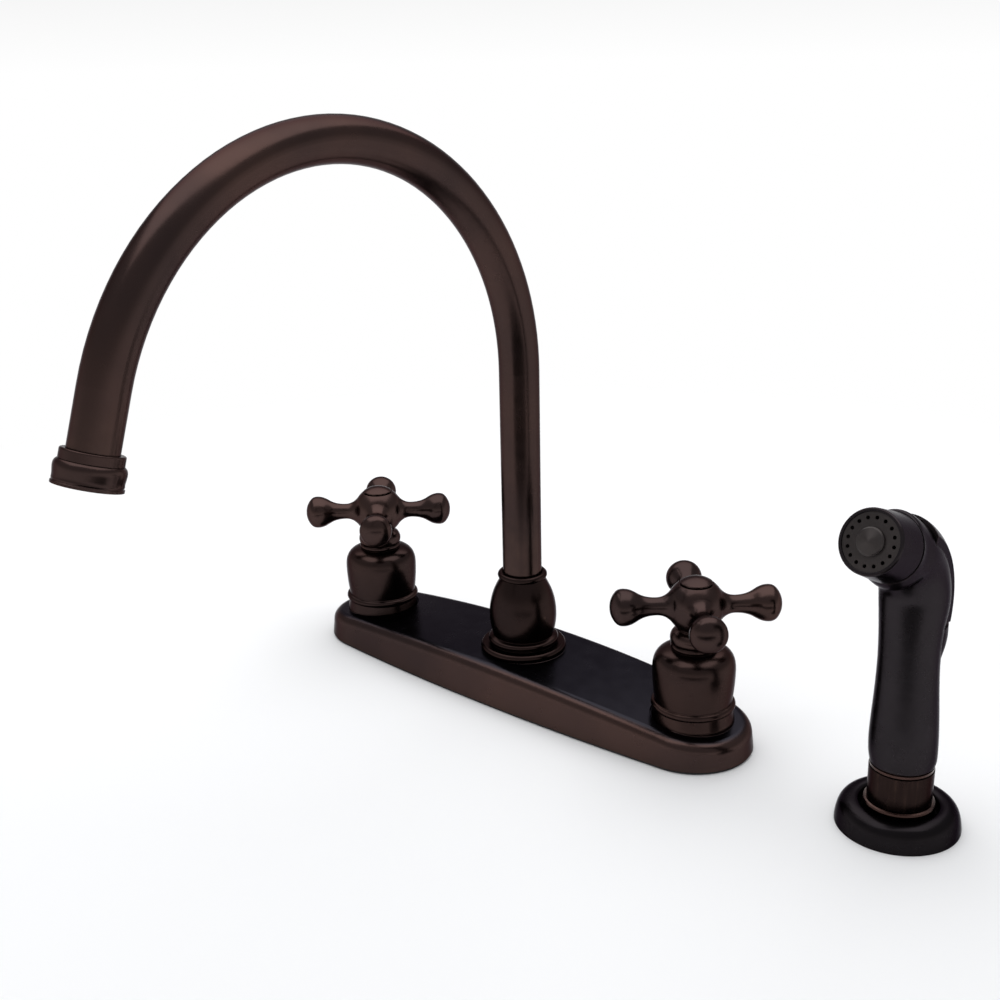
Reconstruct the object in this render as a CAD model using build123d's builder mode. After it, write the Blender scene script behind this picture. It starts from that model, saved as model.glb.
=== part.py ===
from build123d import *
import math
import os

# Two handle kitchen faucet on a long deck plate: a high swivelling gooseneck spout, two
# quarter turn valves with cross handles, and a side sprayer in its own deck holder.
# Millimetres. The origin is on the deck, on the spout's axis. +X runs along the handles
# towards the cold side and the sprayer, the spout reaches towards -Y, and +Z is up.

os.makedirs("parts", exist_ok=True)

# ---- Driving dimensions ------------------------------------------------------------------

hole_pitch = 101.6            # between neighbouring deck holes, so the handles are 8 in apart
sprayer_x = 2 * hole_pitch    # the sprayer takes the fourth deck hole
deck_thickness = 10.0         # sink deck gripped between the plate and the washers

# deck plate and its gasket
gasket_thickness = 1.2
gasket_inset = 0.8            # gasket edge behind the plate's edge
gasket_width = 5.4
plate_half_width = 32.0       # at the spout
plate_end_radius = 27.8       # round ends, centred on the handle axes
plate_top = 20.0              # crown height at the spout
plate_camber = 4.6            # the crown is this much lower at the handle axes
plate_taper = 6.0             # degrees that the sides lean in
plate_edge_radius = 5.5
plate_wall = 2.6
casting_clearance = 0.6       # hole in the plate round each casting

# handle bells
bell_skirt_radius = 18.8
bell_skirt_step = 0.5         # the skirt's foot is this much wider than its side
bell_bead_radius = 19.1
bell_bead_height = 22.2
bell_bead_half = 1.7          # half the bead's height
bell_bead_depth = 1.3         # the bead stands out from the skirt by this much
bell_foot_radius = 17.6       # just above the bead
bell_body_radius = 18.7
bell_body_height = 39.0       # where the side turns into the shoulder
bell_top_height = 51.8
bell_shoulder_inset = 2.3     # the shoulder's middle, in from the side
bell_shoulder_drop = 5.2      # and down from the top
bell_ring_radius = 10.8
bell_ring_height = 2.6
bell_ring_step = 0.6          # the ring's edges are this much narrower than its middle
bell_wall = 1.8

# valves under the bells
valve_body_radius = 14.5
valve_body_top = 34.0
valve_cavity_radius = 11.0
valve_cavity_floor = 14.0
valve_passage_radius = 5.0
valve_spigot_length = 12.0    # how far the body reaches down into its shank
valve_inlet_offset = 9.2      # from the valve's axis to the hole over the side port
valve_inlet_radius = 1.5
cartridge_neck_radius = 7.2
cartridge_neck_rise = 1.4     # above the bell's top
cartridge_hex = 21.0          # across flats
cartridge_hex_height = 5.0
disc_radius = 9.6
disc_thickness = 3.0
disc_gap = 0.05               # film of grease between the two discs
disc_port_width = 3.4
disc_port_length = 10.56
stem_radius = 4.0
stem_clearance = 0.06
stem_top_drop = 3.5           # the stem ends this far below the handle's arms
stem_foot_thickness = 2.5
stem_groove_width = 1.8
stem_groove_depth = 1.4
stem_groove_drop = 6.0        # below the bell's top
spline_notch_radius = 0.35
spline_length = 8.0
screw_radius = 2.0
screw_depth = 9.0             # of the tapped hole in the stem
screw_head_radius = 4.0
screw_head_height = 2.4
screw_bridge = 6.0            # metal between the stem's top and the screw's head
fit_gap = 0.1                 # between pieces that are screwed or pushed together
seat_gap = 0.3                # between a moving piece and what it turns or rests on
running_gap = 0.08            # round the ferrule that turns in the hub

# inlet shanks and what clamps them
shank_radius = 10.45          # 1/2 in straight pipe thread
shank_bore = 7.0
shank_length = 62.0
thread_chamfer = 0.8
relief_width = 1.2            # groove where a connection's thread ends
relief_depth = 0.6
washer_radius = 20.0
washer_thickness = 2.0
nut_flats = 32.0
nut_height = 8.0

# waterway under the plate
cross_tube_radius = 4.75
cross_tube_wall = 0.8
cross_tube_height = 8.0
cross_tube_engagement = 4.0
hub_radius = 15.0
hub_neck_radius = 12.8
hub_top = 44.5
hub_cavity_radius = 8.0
hub_floor = 6.0
outlet_radius = 6.85          # 1/4 in straight pipe thread
outlet_bore = 4.0
outlet_length = 32.0
diverter_bore = 4.6
diverter_lift = 2.0           # travel of the poppet

# cross handles
handle_turn = 44.0            # degrees from the X axis to the first arm
handle_lift = 0.4             # the handle's foot clears the bell's top by this much
collar_rise = 2.6             # the collar's widest, above the handle's foot
collar_radius = 11.0
collar_thickness = 5.1
collar_undercut = 0.35        # the collar's foot is this much narrower
collar_rounding = 1.2
hub_neck_rise = 6.2
arm_rise = 17.3               # arm axes above the handle's foot
ball_radius = 13.0
ball_foot_drop = 9.9          # the ball starts this far below the arm axes
crown_rise = 10.3             # flat top of the ball above the arm axes
arm_reach = 38.2
arm_root_angle = 40.0         # an arm flares out of the ball this far from its own axis
arm_root_sink = 0.1           # the flare starts just inside the ball
arm_neck_radius = 4.0
arm_neck_reach = 17.5
arm_swell_radius = 5.4
arm_swell_reach = 24.5
knob_radius = 8.3
knob_reach = 32.3
button_radius = 7.1
button_rim = 0.8
button_rise = 3.1             # the button's crown above the ball's flat top
button_lap = 1.8              # the button's rim overlaps its recess by this much
button_plug = 2.6

# spout
tube_radius = 9.5             # 3/4 in tube
tube_wall = 1.2
tube_bottom = 36.0
riser_top = 160.5
arch_radius = 112.2
arch_angle = 161.3            # degrees; short of a half turn, so the outlet splays outwards
outlet_straight = 35.1        # from the end of the arch to the outlet plane
ferrule_radius = 10.5
ferrule_bottom = 24.5
ferrule_shoulder_radius = 11.6
ferrule_shoulder_height = 2.5
hub_bore_depth = 2.0          # the hub's bore goes on this far below the ferrule
o_ring_section = 0.85
o_ring_rise = 3.7             # lower seal above the ferrule's foot
o_ring_pitch = 4.6
o_ring_groove_depth = 1.65
ferrule_wall = 2.2            # inside the tube's outer radius
bearing_thickness = 1.2

# barrel nut and base flange under the spout
flange_radius = 21.2
flange_rim_height = 3.4       # rounded rim
flange_rounding = 1.2
flange_dish = 0.9             # the flange's top lies this far below the barrel's seat
flange_top = 24.2             # the barrel's seat
barrel_ring_radius = 17.3
barrel_ring_top = 27.0
barrel_ring_rounding = 1.0
barrel_foot_radius = 15.2
barrel_radius = 16.5
barrel_widest = 36.6
barrel_top = 60.4
barrel_bead_radius = 12.1
barrel_bead_height = 58.9
barrel_bead_half = 1.7        # half the bead's height
barrel_bead_depth = 1.2       # the bead stands out from the barrel by this much

# outlet end of the spout
outlet_collar_radius = 11.6
outlet_collar_length = 3.9
aerator_radius = 12.8
aerator_length = 8.9
tube_end_gap = 0.6            # the tube ends this far behind the aerator
aerator_rim = 1.1
aerator_lip = 3.2             # the rim reaches this far in under the screen
aerator_wall = 1.4
aerator_washer_thickness = 1.1
screen_thickness = 2.4
screen_hole_radius = 0.55
screen_hole_pitch = 2.4

# sprayer holder
holder_radius = 25.4
holder_edge = 0.8
holder_height = 10.6
holder_crest_inset = 2.6      # from the well to the crest
holder_crest_drop = 1.7       # the well's edge lies this far below the crest
holder_well_radius = 15.7
holder_well_floor = 4.6
holder_tail_radius = 14.2
holder_tail_length = 42.0
holder_bore = 11.5
liner_ring_radius = 14.5
liner_rounding = 1.0
liner_top = 11.8
liner_bore = 10.3
liner_bottom = -15.0
holder_washer_radius = 20.0
holder_nut_flats = 34.0

# sprayer wand
wand_guide_radius = 10.0
wand_guide_bottom = -8.0
wand_bore = 4.5
connector_radius = 6.85       # 1/4 in straight pipe thread
connector_bore = 3.5
connector_length = 14.0
connector_spigot = 5.4
band_radius = 13.1
band_top = 26.5
ring_height = 2.2             # between the band and the grip
ring_radius = 12.9
ring_groove = 0.6             # height and depth of the groove on either side of the ring
grip_swell_radius = 13.6      # just above the grip's foot
grip_waist_radius = 12.0
grip_waist_height = 74.0
grip_wall = 2.1
tail_spigot_radius = 10.7
tail_spigot_length = 13.5     # the tail reaches this far up inside the grip
elbow_start = 100.0
elbow_radius = 27.0
elbow_turn = 66.0             # degrees from upright to the nozzle's direction
elbow_lean = -1.5             # the elbow starts this far towards the user
head_radius = 13.5
head_straight = 9.9
nozzle_length = 16.9
nozzle_front_radius = 12.6
nozzle_rounding = 0.5
nozzle_spigot_length = 5.0    # the nozzle reaches this far back into the head
nozzle_spigot_gap = 0.5
nozzle_spigot_wall = 1.6
web_back = 5.0                # back of the web inside the nozzle, from the parting line
web_thickness = 4.0
face_radius = 11.1
face_thickness = 1.9
face_recess = 0.4             # the face lies this far behind the nozzle's rim
face_lap = 1.6                # the face's plug reaches this far behind its flange
face_hole_ring = 9.0
face_hole_radius = 0.75
face_hole_count = 16
face_button_radius = 5.4
face_button_wall = 1.0        # height of the button's side above the face
face_button_rise = 2.7        # height of its tip
parting_gap = 0.9             # dark line between the head and the nozzle

# trigger and the spray valve
lever_half_width = 12.0
lever_outside = 1.4           # the lever stands proud of the head by this much
lever_thickness = 2.6
lever_sill = 3.0              # the lever's sides end this far behind the elbow's centreline
lever_low_angle = -16.0       # degrees round the elbow, from its horizontal radius
lever_high_angle = 62.0
lever_foot = 91.3             # height of the lever's lower end
lever_side_gap = 0.4
window_sill = -1.0            # the shell's window goes this far round
window_low_angle = -13.0
window_high_angle = 64.5
pivot_angle = 58.0
pivot_offset = 7.5            # from the elbow's centreline to the pivot pin
pin_radius = 1.2
pin_clearance = 0.05
pin_half_length = 7.6
cheek_gap = 0.3               # beside the lever's lug
cheek_half_length = 2.6       # the cheeks that hold the pin, along the head
cheek_radius = 11.8           # and as far out as this
cheek_sill = -5.0
notch_floor = 89.4            # the lever's end moves down into a notch above the finger stop
notch_back = -3.5
notch_top = 96.0
well_floor = 88.7             # and into a deeper round well inside it
well_radius = 11.5
well_shift = -0.6
lug_half_width = 4.5
lug_boss_radius = 2.6
pusher_drop = 5.4             # flat under the lever's lug, below the pin and above the stem
spray_stem_radius = 2.2
spray_chamber_length = 20.0   # from the tail's spigot up to the valve's head
spray_valve_head = 3.8
spray_head_height = 6.0       # from the foot of the valve's head to its seat
spray_valve_bore = 4.2
spray_valve_radius = 6.0
spray_port_rise = 8.0         # the side port above the seat
spring_seat_rise = 18.0       # the spring's foot above the port
spring_collar_drop = 11.9     # the stem's collar below its top
spring_radius = 3.6
spring_wire = 0.45            # half the wire's thickness
spring_turns = 6
spring_collar_radius = 4.2
water_tube_radius = 2.8
water_tube_wall = 0.8
water_tube_setback = 7.9      # in front of the stem

# ---- Shared geometry ---------------------------------------------------------------------

plate_bottom = gasket_thickness
bell_seat = plate_top - plate_camber
side_bow_radius = (hole_pitch**2 + plate_half_width**2 - plate_end_radius**2) / (
    2 * (plate_half_width - plate_end_radius)
)
camber_radius = (hole_pitch**2 + plate_camber**2) / (2 * plate_camber)
washer_top = -deck_thickness
nut_top = washer_top - washer_thickness
nut_bottom = nut_top - nut_height
relief_bottom = nut_bottom - relief_width
shank_bottom = -shank_length
turning_disc_bottom = valve_cavity_floor + disc_thickness + disc_gap
stem_foot = turning_disc_bottom + disc_thickness
o_ring_levels = [ferrule_bottom + o_ring_rise, ferrule_bottom + o_ring_rise + o_ring_pitch]
handle_base = bell_top_height + handle_lift
arm_height = handle_base + arm_rise
crown_height = arm_height + crown_rise
button_height = crown_height + button_rise
stem_top = arm_height - stem_top_drop
stem_groove = bell_top_height - stem_groove_drop
screw_seat = stem_top + screw_bridge
splay = math.radians(180 - arch_angle)
arch_end_y = -arch_radius * (1 + math.cos(splay))
arch_end_z = riser_top + arch_radius * math.sin(splay)
outlet_y = arch_end_y - outlet_straight * math.sin(splay)
outlet_z = arch_end_z - outlet_straight * math.cos(splay)
tube_end_setback = aerator_length + tube_end_gap
wand_seat = liner_top + seat_gap
elbow_centre = Vector(sprayer_x, elbow_lean - elbow_radius, elbow_start)
pivot_y = elbow_centre.Y + (elbow_radius + pivot_offset) * math.cos(math.radians(pivot_angle))
pivot_z = elbow_centre.Z + (elbow_radius + pivot_offset) * math.sin(math.radians(pivot_angle))
grip_bottom = band_top + ring_height
tail_spigot_top = band_top + tail_spigot_length
pusher_height = pivot_z - pusher_drop
spray_stem_bottom = tail_spigot_top + spray_chamber_length
spray_valve_seat = spray_stem_bottom + spray_head_height
spray_port_height = spray_valve_seat + spray_port_rise
spring_bottom = spray_port_height + spring_seat_rise
spring_top = pusher_height - spring_collar_drop
lever_in = head_radius + lever_outside - lever_thickness
lever_out = head_radius + lever_outside


def upright(x):
    """The plane through a vertical axis at x, with its own y pointing up."""
    return Plane(origin=(x, 0, 0), x_dir=(1, 0, 0), z_dir=(0, -1, 0))


def vertical_axis(x):
    return Axis((x, 0, 0), (0, 0, 1))


def beside(plane):
    """The plane that holds another plane's normal as its own y, and +X as its own x."""
    across = Vector(1, 0, 0)
    return Plane(origin=plane.origin, x_dir=across, z_dir=across.cross(plane.z_dir))


def normal_axis(plane):
    return Axis(plane.origin, plane.z_dir)


def finish(builder, name):
    """Label a finished piece and write it."""
    builder.part.label = name
    export_step(builder.part, f"parts/{name}.step")


def lathe(x, *profiles):
    """Turn closed (radius, height) profiles about the vertical axis at x."""
    with BuildPart() as turned:
        with BuildSketch(upright(x)):
            for profile in profiles:
                with BuildLine():
                    Polyline(*profile, close=True)
                make_face()
        revolve(axis=vertical_axis(x))
    return turned


def rectangle_profile(inner, outer, low, high):
    return [(inner, low), (outer, low), (outer, high), (inner, high)]


# ---- Deck plate --------------------------------------------------------------------------


def plate_outline(inset):
    """Round ended outline with bowed sides, moved in from the plate's edge."""
    end = plate_end_radius - inset
    lean = hole_pitch / (side_bow_radius - plate_end_radius)
    tangent_x = hole_pitch + end * lean
    tangent_y = end * math.sqrt(1 - lean**2)
    tip = hole_pitch + end
    bow = plate_half_width - inset
    ThreePointArc((-tangent_x, -tangent_y), (0, -bow), (tangent_x, -tangent_y))
    ThreePointArc((tangent_x, -tangent_y), (tip, 0), (tangent_x, tangent_y))
    ThreePointArc((tangent_x, tangent_y), (0, bow), (-tangent_x, tangent_y))
    ThreePointArc((-tangent_x, tangent_y), (-tip, 0), (-tangent_x, -tangent_y))


def plate_body(inset, low, drop, edge_radius):
    """Tapered block under the cambered crown, with its top edge rounded."""
    with BuildPart() as block:
        with BuildSketch(Plane.XY.offset(low)):
            with BuildLine():
                plate_outline(inset)
            make_face()
        extrude(amount=plate_top + 5 - low, taper=plate_taper)
        with BuildSketch(Plane.XZ):
            with Locations((0, plate_top - drop - camber_radius)):
                Circle(camber_radius)
        extrude(amount=2 * plate_half_width, both=True, mode=Mode.INTERSECT)
        fillet(block.faces().sort_by(Axis.Z)[-1].edges(), edge_radius)
    return block


def make_deck_plate():
    outside = plate_body(0, plate_bottom, 0, plate_edge_radius)
    inside = plate_body(plate_wall, plate_bottom, plate_wall, plate_edge_radius - plate_wall)
    with BuildPart() as plate:
        add(outside.part)
        add(inside.part, mode=Mode.SUBTRACT)
        with BuildSketch(Plane.XY.offset(bell_seat - plate_wall)):
            with Locations((-hole_pitch, 0), (hole_pitch, 0)):
                Circle(bell_skirt_radius)
        extrude(amount=plate_wall)
        with BuildSketch(Plane.XY.offset(bell_seat)):
            with Locations((-hole_pitch, 0), (hole_pitch, 0)):
                Circle(bell_bead_radius + seat_gap)
        extrude(amount=plate_camber, mode=Mode.SUBTRACT)
        with BuildSketch(Plane.XY):
            with Locations((-hole_pitch, 0), (hole_pitch, 0)):
                Circle(valve_body_radius + casting_clearance)
            Circle(hub_radius + casting_clearance)
        extrude(amount=plate_top, mode=Mode.SUBTRACT)
        with BuildSketch(Plane.XY.offset(plate_top - plate_wall)):
            Circle(flange_radius)
            Circle(hub_radius + casting_clearance, mode=Mode.SUBTRACT)
        extrude(amount=plate_wall)
    finish(plate, "deck_plate")


def make_deck_gasket():
    with BuildPart() as gasket:
        with BuildSketch(Plane.XY):
            with BuildLine():
                plate_outline(gasket_inset)
            make_face()
            with BuildLine():
                plate_outline(gasket_inset + gasket_width)
            make_face(mode=Mode.SUBTRACT)
        extrude(amount=gasket_thickness)
    finish(gasket, "deck_gasket")


# ---- Valves, shanks and bells ------------------------------------------------------------


def make_valve_body(side, x):
    """Brass casting on the deck; its port faces the spout."""
    inward = -math.copysign(1, x)
    port_plane = Plane(
        origin=(x + inward * valve_body_radius, 0, cross_tube_height),
        x_dir=(0, 1, 0),
        z_dir=(-inward, 0, 0),
    )
    with BuildPart() as body:
        with BuildSketch(upright(x)):
            with BuildLine():
                Polyline(
                    (valve_passage_radius, -valve_spigot_length),
                    (shank_bore - fit_gap, -valve_spigot_length),
                    (shank_bore - fit_gap, 0),
                    (valve_body_radius, 0),
                    (valve_body_radius, valve_body_top),
                    (valve_cavity_radius, valve_body_top),
                    (valve_cavity_radius, valve_cavity_floor),
                    (valve_passage_radius, valve_cavity_floor),
                    close=True,
                )
            make_face()
        revolve(axis=vertical_axis(x))
        with BuildSketch(port_plane):
            Circle(cross_tube_radius + fit_gap)
        extrude(amount=valve_body_radius - valve_passage_radius - 2.5, mode=Mode.SUBTRACT)
        with BuildSketch(Plane.XY.offset(cross_tube_height)):
            with Locations((x + inward * valve_inlet_offset, 0)):
                Circle(valve_inlet_radius)
        extrude(amount=valve_cavity_floor - cross_tube_height, mode=Mode.SUBTRACT)
        chamfer(body.edges().group_by(Axis.Z)[-1], 0.6)
    finish(body, f"{side}_valve_body")


def make_inlet_shank(side, x):
    """Threaded shank; a groove under the nut ends the supply connection's thread."""
    profile = [
        (shank_bore, shank_bottom),
        (shank_radius - thread_chamfer, shank_bottom),
        (shank_radius, shank_bottom + thread_chamfer),
        (shank_radius, relief_bottom),
        (shank_radius - relief_depth, relief_bottom),
        (shank_radius - relief_depth, nut_bottom),
        (shank_radius, nut_bottom),
        (shank_radius, 0),
        (shank_bore, 0),
    ]
    finish(lathe(x, profile), f"{side}_inlet_shank")


def make_washers(name, places, bore, radius):
    with BuildPart() as washers:
        with BuildSketch(Plane.XY.offset(nut_top)):
            with Locations(*[(x, 0) for x in places]):
                Circle(radius)
                Circle(bore, mode=Mode.SUBTRACT)
        extrude(amount=washer_thickness)
    finish(washers, name)


def make_mounting_nuts(name, places, bore, flats):
    with BuildPart() as nuts:
        with BuildSketch(Plane.XY.offset(nut_bottom)):
            with Locations(*[(x, 0) for x in places]):
                RegularPolygon(flats / 2, 6, major_radius=False)
                Circle(bore, mode=Mode.SUBTRACT)
        extrude(amount=nut_height)
        chamfer(nuts.edges().filter_by(GeomType.CIRCLE), 0.5)
    finish(nuts, name)


def make_bell(side, x):
    """Handle base: flared skirt, bead, bell body, shoulder and neck ring."""
    bead_foot = bell_bead_radius - bell_bead_depth
    bead_low = bell_bead_height - bell_bead_half
    bead_high = bell_bead_height + bell_bead_half
    ring_foot = bell_ring_radius - bell_ring_step
    ring_low = bell_top_height - bell_ring_height
    neck_bore = cartridge_neck_radius + fit_gap
    inside_radius = bell_foot_radius - bell_wall
    land_radius = valve_body_radius + fit_gap
    with BuildPart() as bell:
        with BuildSketch(upright(x)):
            with BuildLine():
                Line((inside_radius, bell_seat), (bell_skirt_radius, bell_seat))
                Spline(
                    (bell_skirt_radius, bell_seat),
                    (bell_skirt_radius - bell_skirt_step, (bell_seat + bead_low) / 2),
                    (bead_foot, bead_low),
                )
                ThreePointArc(
                    (bead_foot, bead_low),
                    (bell_bead_radius, bell_bead_height),
                    (bead_foot, bead_high),
                )
                Line((bead_foot, bead_high), (bell_foot_radius, bead_high + 0.2))
                Spline(
                    (bell_foot_radius, bead_high + 0.2),
                    (bell_body_radius, bell_body_height),
                    tangents=[(0.12, 1), (0, 1)],
                )
                Spline(
                    (bell_body_radius, bell_body_height),
                    (bell_body_radius - bell_shoulder_inset, bell_top_height - bell_shoulder_drop),
                    (ring_foot, ring_low),
                    tangents=[(0, 1), (-1, 0.12)],
                )
                ThreePointArc(
                    (ring_foot, ring_low),
                    (bell_ring_radius, (ring_low + bell_top_height) / 2),
                    (ring_foot, bell_top_height),
                )
                Polyline(
                    (ring_foot, bell_top_height),
                    (neck_bore, bell_top_height),
                    (neck_bore, ring_low - 0.4),
                    (bell_body_radius - 6, ring_low - 3.2),
                    (inside_radius, bell_body_height + 1),
                    (inside_radius, valve_body_top - bell_wall),
                    (land_radius, valve_body_top - 2 * bell_wall),
                    (land_radius, bell_bead_height + 2 * bell_wall),
                    (inside_radius, bell_bead_height + bell_wall),
                    (inside_radius, bell_seat),
                )
            make_face()
        revolve(axis=vertical_axis(x))
    finish(bell, f"{side}_bell")


def make_cartridge(side, x):
    """Brass cartridge screwed into the valve body; its hex is turned with a spanner."""
    hex_top = valve_body_top + cartridge_hex_height
    neck_top = bell_top_height + cartridge_neck_rise
    stem_bore = stem_radius + stem_clearance
    disc_pocket = disc_radius + 0.4
    with BuildPart() as cartridge:
        with BuildSketch(upright(x)):
            with BuildLine():
                Polyline(
                    (disc_pocket, valve_cavity_floor + 0.4),
                    (valve_cavity_radius - fit_gap, valve_cavity_floor + 0.4),
                    (valve_cavity_radius - fit_gap, hex_top),
                    (cartridge_neck_radius, hex_top),
                    (cartridge_neck_radius, neck_top),
                    (stem_bore, neck_top),
                    (stem_bore, valve_body_top - 6),
                    (disc_pocket, valve_body_top - 6),
                    close=True,
                )
            make_face()
        revolve(axis=vertical_axis(x))
        with BuildSketch(Plane.XY.offset(valve_body_top)):
            with Locations((x, 0)):
                RegularPolygon(cartridge_hex / 2, 6, major_radius=False)
                Circle(valve_cavity_radius - 2, mode=Mode.SUBTRACT)
        extrude(amount=hex_top - valve_body_top)
    finish(cartridge, f"{side}_cartridge")


def make_fixed_disc(side, x):
    """Ceramic disc with two ports, keyed into the valve body's floor."""
    with BuildPart() as disc:
        with BuildSketch(Plane.XY.offset(valve_cavity_floor)):
            with Locations((x, 0)):
                Circle(disc_radius)
            with Locations((x - disc_radius / 2, 0), (x + disc_radius / 2, 0)):
                SlotOverall(disc_port_length, disc_port_width, rotation=90, mode=Mode.SUBTRACT)
        extrude(amount=disc_thickness)
    finish(disc, f"{side}_fixed_disc")


# ---- Turning parts of each valve ---------------------------------------------------------


def make_turning_disc(side, x):
    """Ceramic disc that covers or opens the fixed disc's ports."""
    with BuildPart() as disc:
        with BuildSketch(Plane.XY.offset(turning_disc_bottom)):
            with Locations((x, 0)):
                Circle(disc_radius)
            with Locations((x, disc_radius / 2), (x, -disc_radius / 2)):
                SlotOverall(disc_port_length, disc_port_width, mode=Mode.SUBTRACT)
        extrude(amount=disc_thickness)
    finish(disc, f"{side}_turning_disc")


def make_stem(side, x):
    """Stem with a drive foot on the disc, a seal groove and a splined top."""
    groove_radius = stem_radius - stem_groove_depth
    foot_top = stem_foot + stem_foot_thickness
    groove_top = stem_groove + stem_groove_width
    with BuildPart() as stem:
        with BuildSketch(upright(x)):
            with BuildLine():
                Polyline(
                    (0, stem_foot),
                    (disc_radius - 1, stem_foot),
                    (disc_radius - 1, foot_top),
                    (stem_radius, foot_top),
                    (stem_radius, stem_groove),
                    (groove_radius, stem_groove),
                    (groove_radius, groove_top),
                    (stem_radius, groove_top),
                    (stem_radius, stem_top),
                    (screw_radius, stem_top),
                    (screw_radius, stem_top - screw_depth),
                    (0, stem_top - screw_depth),
                    close=True,
                )
            make_face()
        revolve(axis=vertical_axis(x))
        with BuildSketch(Plane.XY.offset(stem_top - spline_length)):
            with Locations((x, 0)):
                with PolarLocations(stem_radius, 16):
                    Circle(spline_notch_radius)
        extrude(amount=spline_length, mode=Mode.SUBTRACT)
    finish(stem, f"{side}_stem")


def make_stem_seal(side, x):
    section = (stem_groove_depth + stem_clearance) / 2 - 0.01
    centre = stem_radius + stem_clearance - section - 0.01
    with BuildPart() as seal:
        with BuildSketch(upright(x)):
            with Locations((centre, stem_groove + stem_groove_width / 2)):
                Circle(section)
        revolve(axis=vertical_axis(x))
    finish(seal, f"{side}_stem_seal")


def make_cross_handle(side, x):
    """One casting: collar, waisted neck, ball hub and four arms that swell into knobs."""
    collar_height = handle_base + collar_rise
    collar_top = handle_base + collar_thickness
    neck_height = handle_base + hub_neck_rise
    ball_foot = arm_height - ball_foot_drop
    ball_foot_radius = math.sqrt(ball_radius**2 - ball_foot_drop**2)
    neck_radius = ball_foot_radius - 0.3
    crown_radius = math.sqrt(ball_radius**2 - crown_rise**2)
    recess_radius = button_radius - button_lap
    socket_radius = stem_radius + 0.05
    skirt_bore = cartridge_neck_radius + 0.5
    skirt_depth = cartridge_neck_rise + handle_lift + 0.4
    knob_length = arm_reach - knob_reach
    arm_start = arm_neck_radius
    root_cos = math.cos(math.radians(arm_root_angle))
    root_sin = math.sin(math.radians(arm_root_angle))
    root_radius = ball_radius - arm_root_sink
    arm_root = (root_radius * root_cos, root_radius * root_sin)
    knob_shoulder = (knob_reach + knob_length * 0.7, knob_radius * 0.714)
    with BuildPart() as handle:
        with BuildSketch(upright(x)):
            with BuildLine():
                Line((0, handle_base), (collar_radius - collar_undercut, handle_base))
                ThreePointArc(
                    (collar_radius - collar_undercut, handle_base),
                    (collar_radius, collar_height),
                    (collar_radius - collar_rounding, collar_top),
                )
                Line((collar_radius - collar_rounding, collar_top), (neck_radius, neck_height))
                Line((neck_radius, neck_height), (ball_foot_radius, ball_foot))
                ThreePointArc(
                    (ball_foot_radius, ball_foot),
                    (ball_radius, arm_height),
                    (crown_radius, crown_height),
                )
                Polyline((crown_radius, crown_height), (0, crown_height), (0, handle_base))
            make_face()
        revolve(axis=vertical_axis(x))
        for quarter in range(4):
            angle = math.radians(handle_turn + 90 * quarter)
            outward = (math.cos(angle), math.sin(angle), 0)
            arm_plane = Plane(
                origin=(x, 0, arm_height),
                x_dir=outward,
                z_dir=(math.sin(angle), -math.cos(angle), 0),
            )
            with BuildSketch(arm_plane):
                with BuildLine():
                    Line((arm_start, 0), arm_root)
                    Spline(
                        arm_root,
                        (arm_neck_reach, arm_neck_radius),
                        tangents=[(root_sin, -root_cos), (1, 0)],
                    )
                    Spline(
                        (arm_neck_reach, arm_neck_radius),
                        (arm_swell_reach, arm_swell_radius),
                        (knob_reach, knob_radius),
                        tangents=[(1, 0), (1, 0)],
                    )
                    Spline(
                        (knob_reach, knob_radius),
                        knob_shoulder,
                        (arm_reach, 0),
                        tangents=[(1, 0), (0, -1)],
                    )
                    Line((arm_reach, 0), (arm_start, 0))
                make_face()
            revolve(axis=Axis((x, 0, arm_height), outward))
        with BuildSketch(Plane.XY.offset(handle_base)):
            with Locations((x, 0)):
                Circle(skirt_bore)
        extrude(amount=skirt_depth, mode=Mode.SUBTRACT)
        with BuildSketch(Plane.XY.offset(handle_base)):
            with Locations((x, 0)):
                Circle(socket_radius)
        extrude(amount=stem_top + 0.4 - handle_base, mode=Mode.SUBTRACT)
        with BuildSketch(Plane.XY.offset(handle_base)):
            with Locations((x, 0)):
                Circle(screw_radius + seat_gap)
        extrude(amount=crown_height - handle_base, mode=Mode.SUBTRACT)
        with BuildSketch(Plane.XY.offset(screw_seat)):
            with Locations((x, 0)):
                Circle(recess_radius + fit_gap)
        extrude(amount=crown_height - screw_seat, mode=Mode.SUBTRACT)
    finish(handle, f"{side}_cross_handle")


def make_handle_screw(side, x):
    with BuildPart() as screw:
        with BuildSketch(Plane.XY.offset(screw_seat)):
            with Locations((x, 0)):
                Circle(screw_head_radius)
        extrude(amount=screw_head_height)
        fillet(screw.edges().group_by(Axis.Z)[-1], screw_head_height / 3)
        with BuildSketch(Plane.XY.offset(screw_seat + 1.0)):
            with Locations((x, 0)):
                Rectangle(1.3 * screw_head_radius, 1.1)
                Rectangle(1.1, 1.3 * screw_head_radius)
        extrude(amount=screw_head_height - 1.0, mode=Mode.SUBTRACT)
        with BuildSketch(Plane.XY.offset(stem_top - screw_depth + 0.5)):
            with Locations((x, 0)):
                Circle(screw_radius - 0.05)
        extrude(amount=screw_bridge + screw_depth - 0.5)
    finish(screw, f"{side}_handle_screw")


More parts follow.
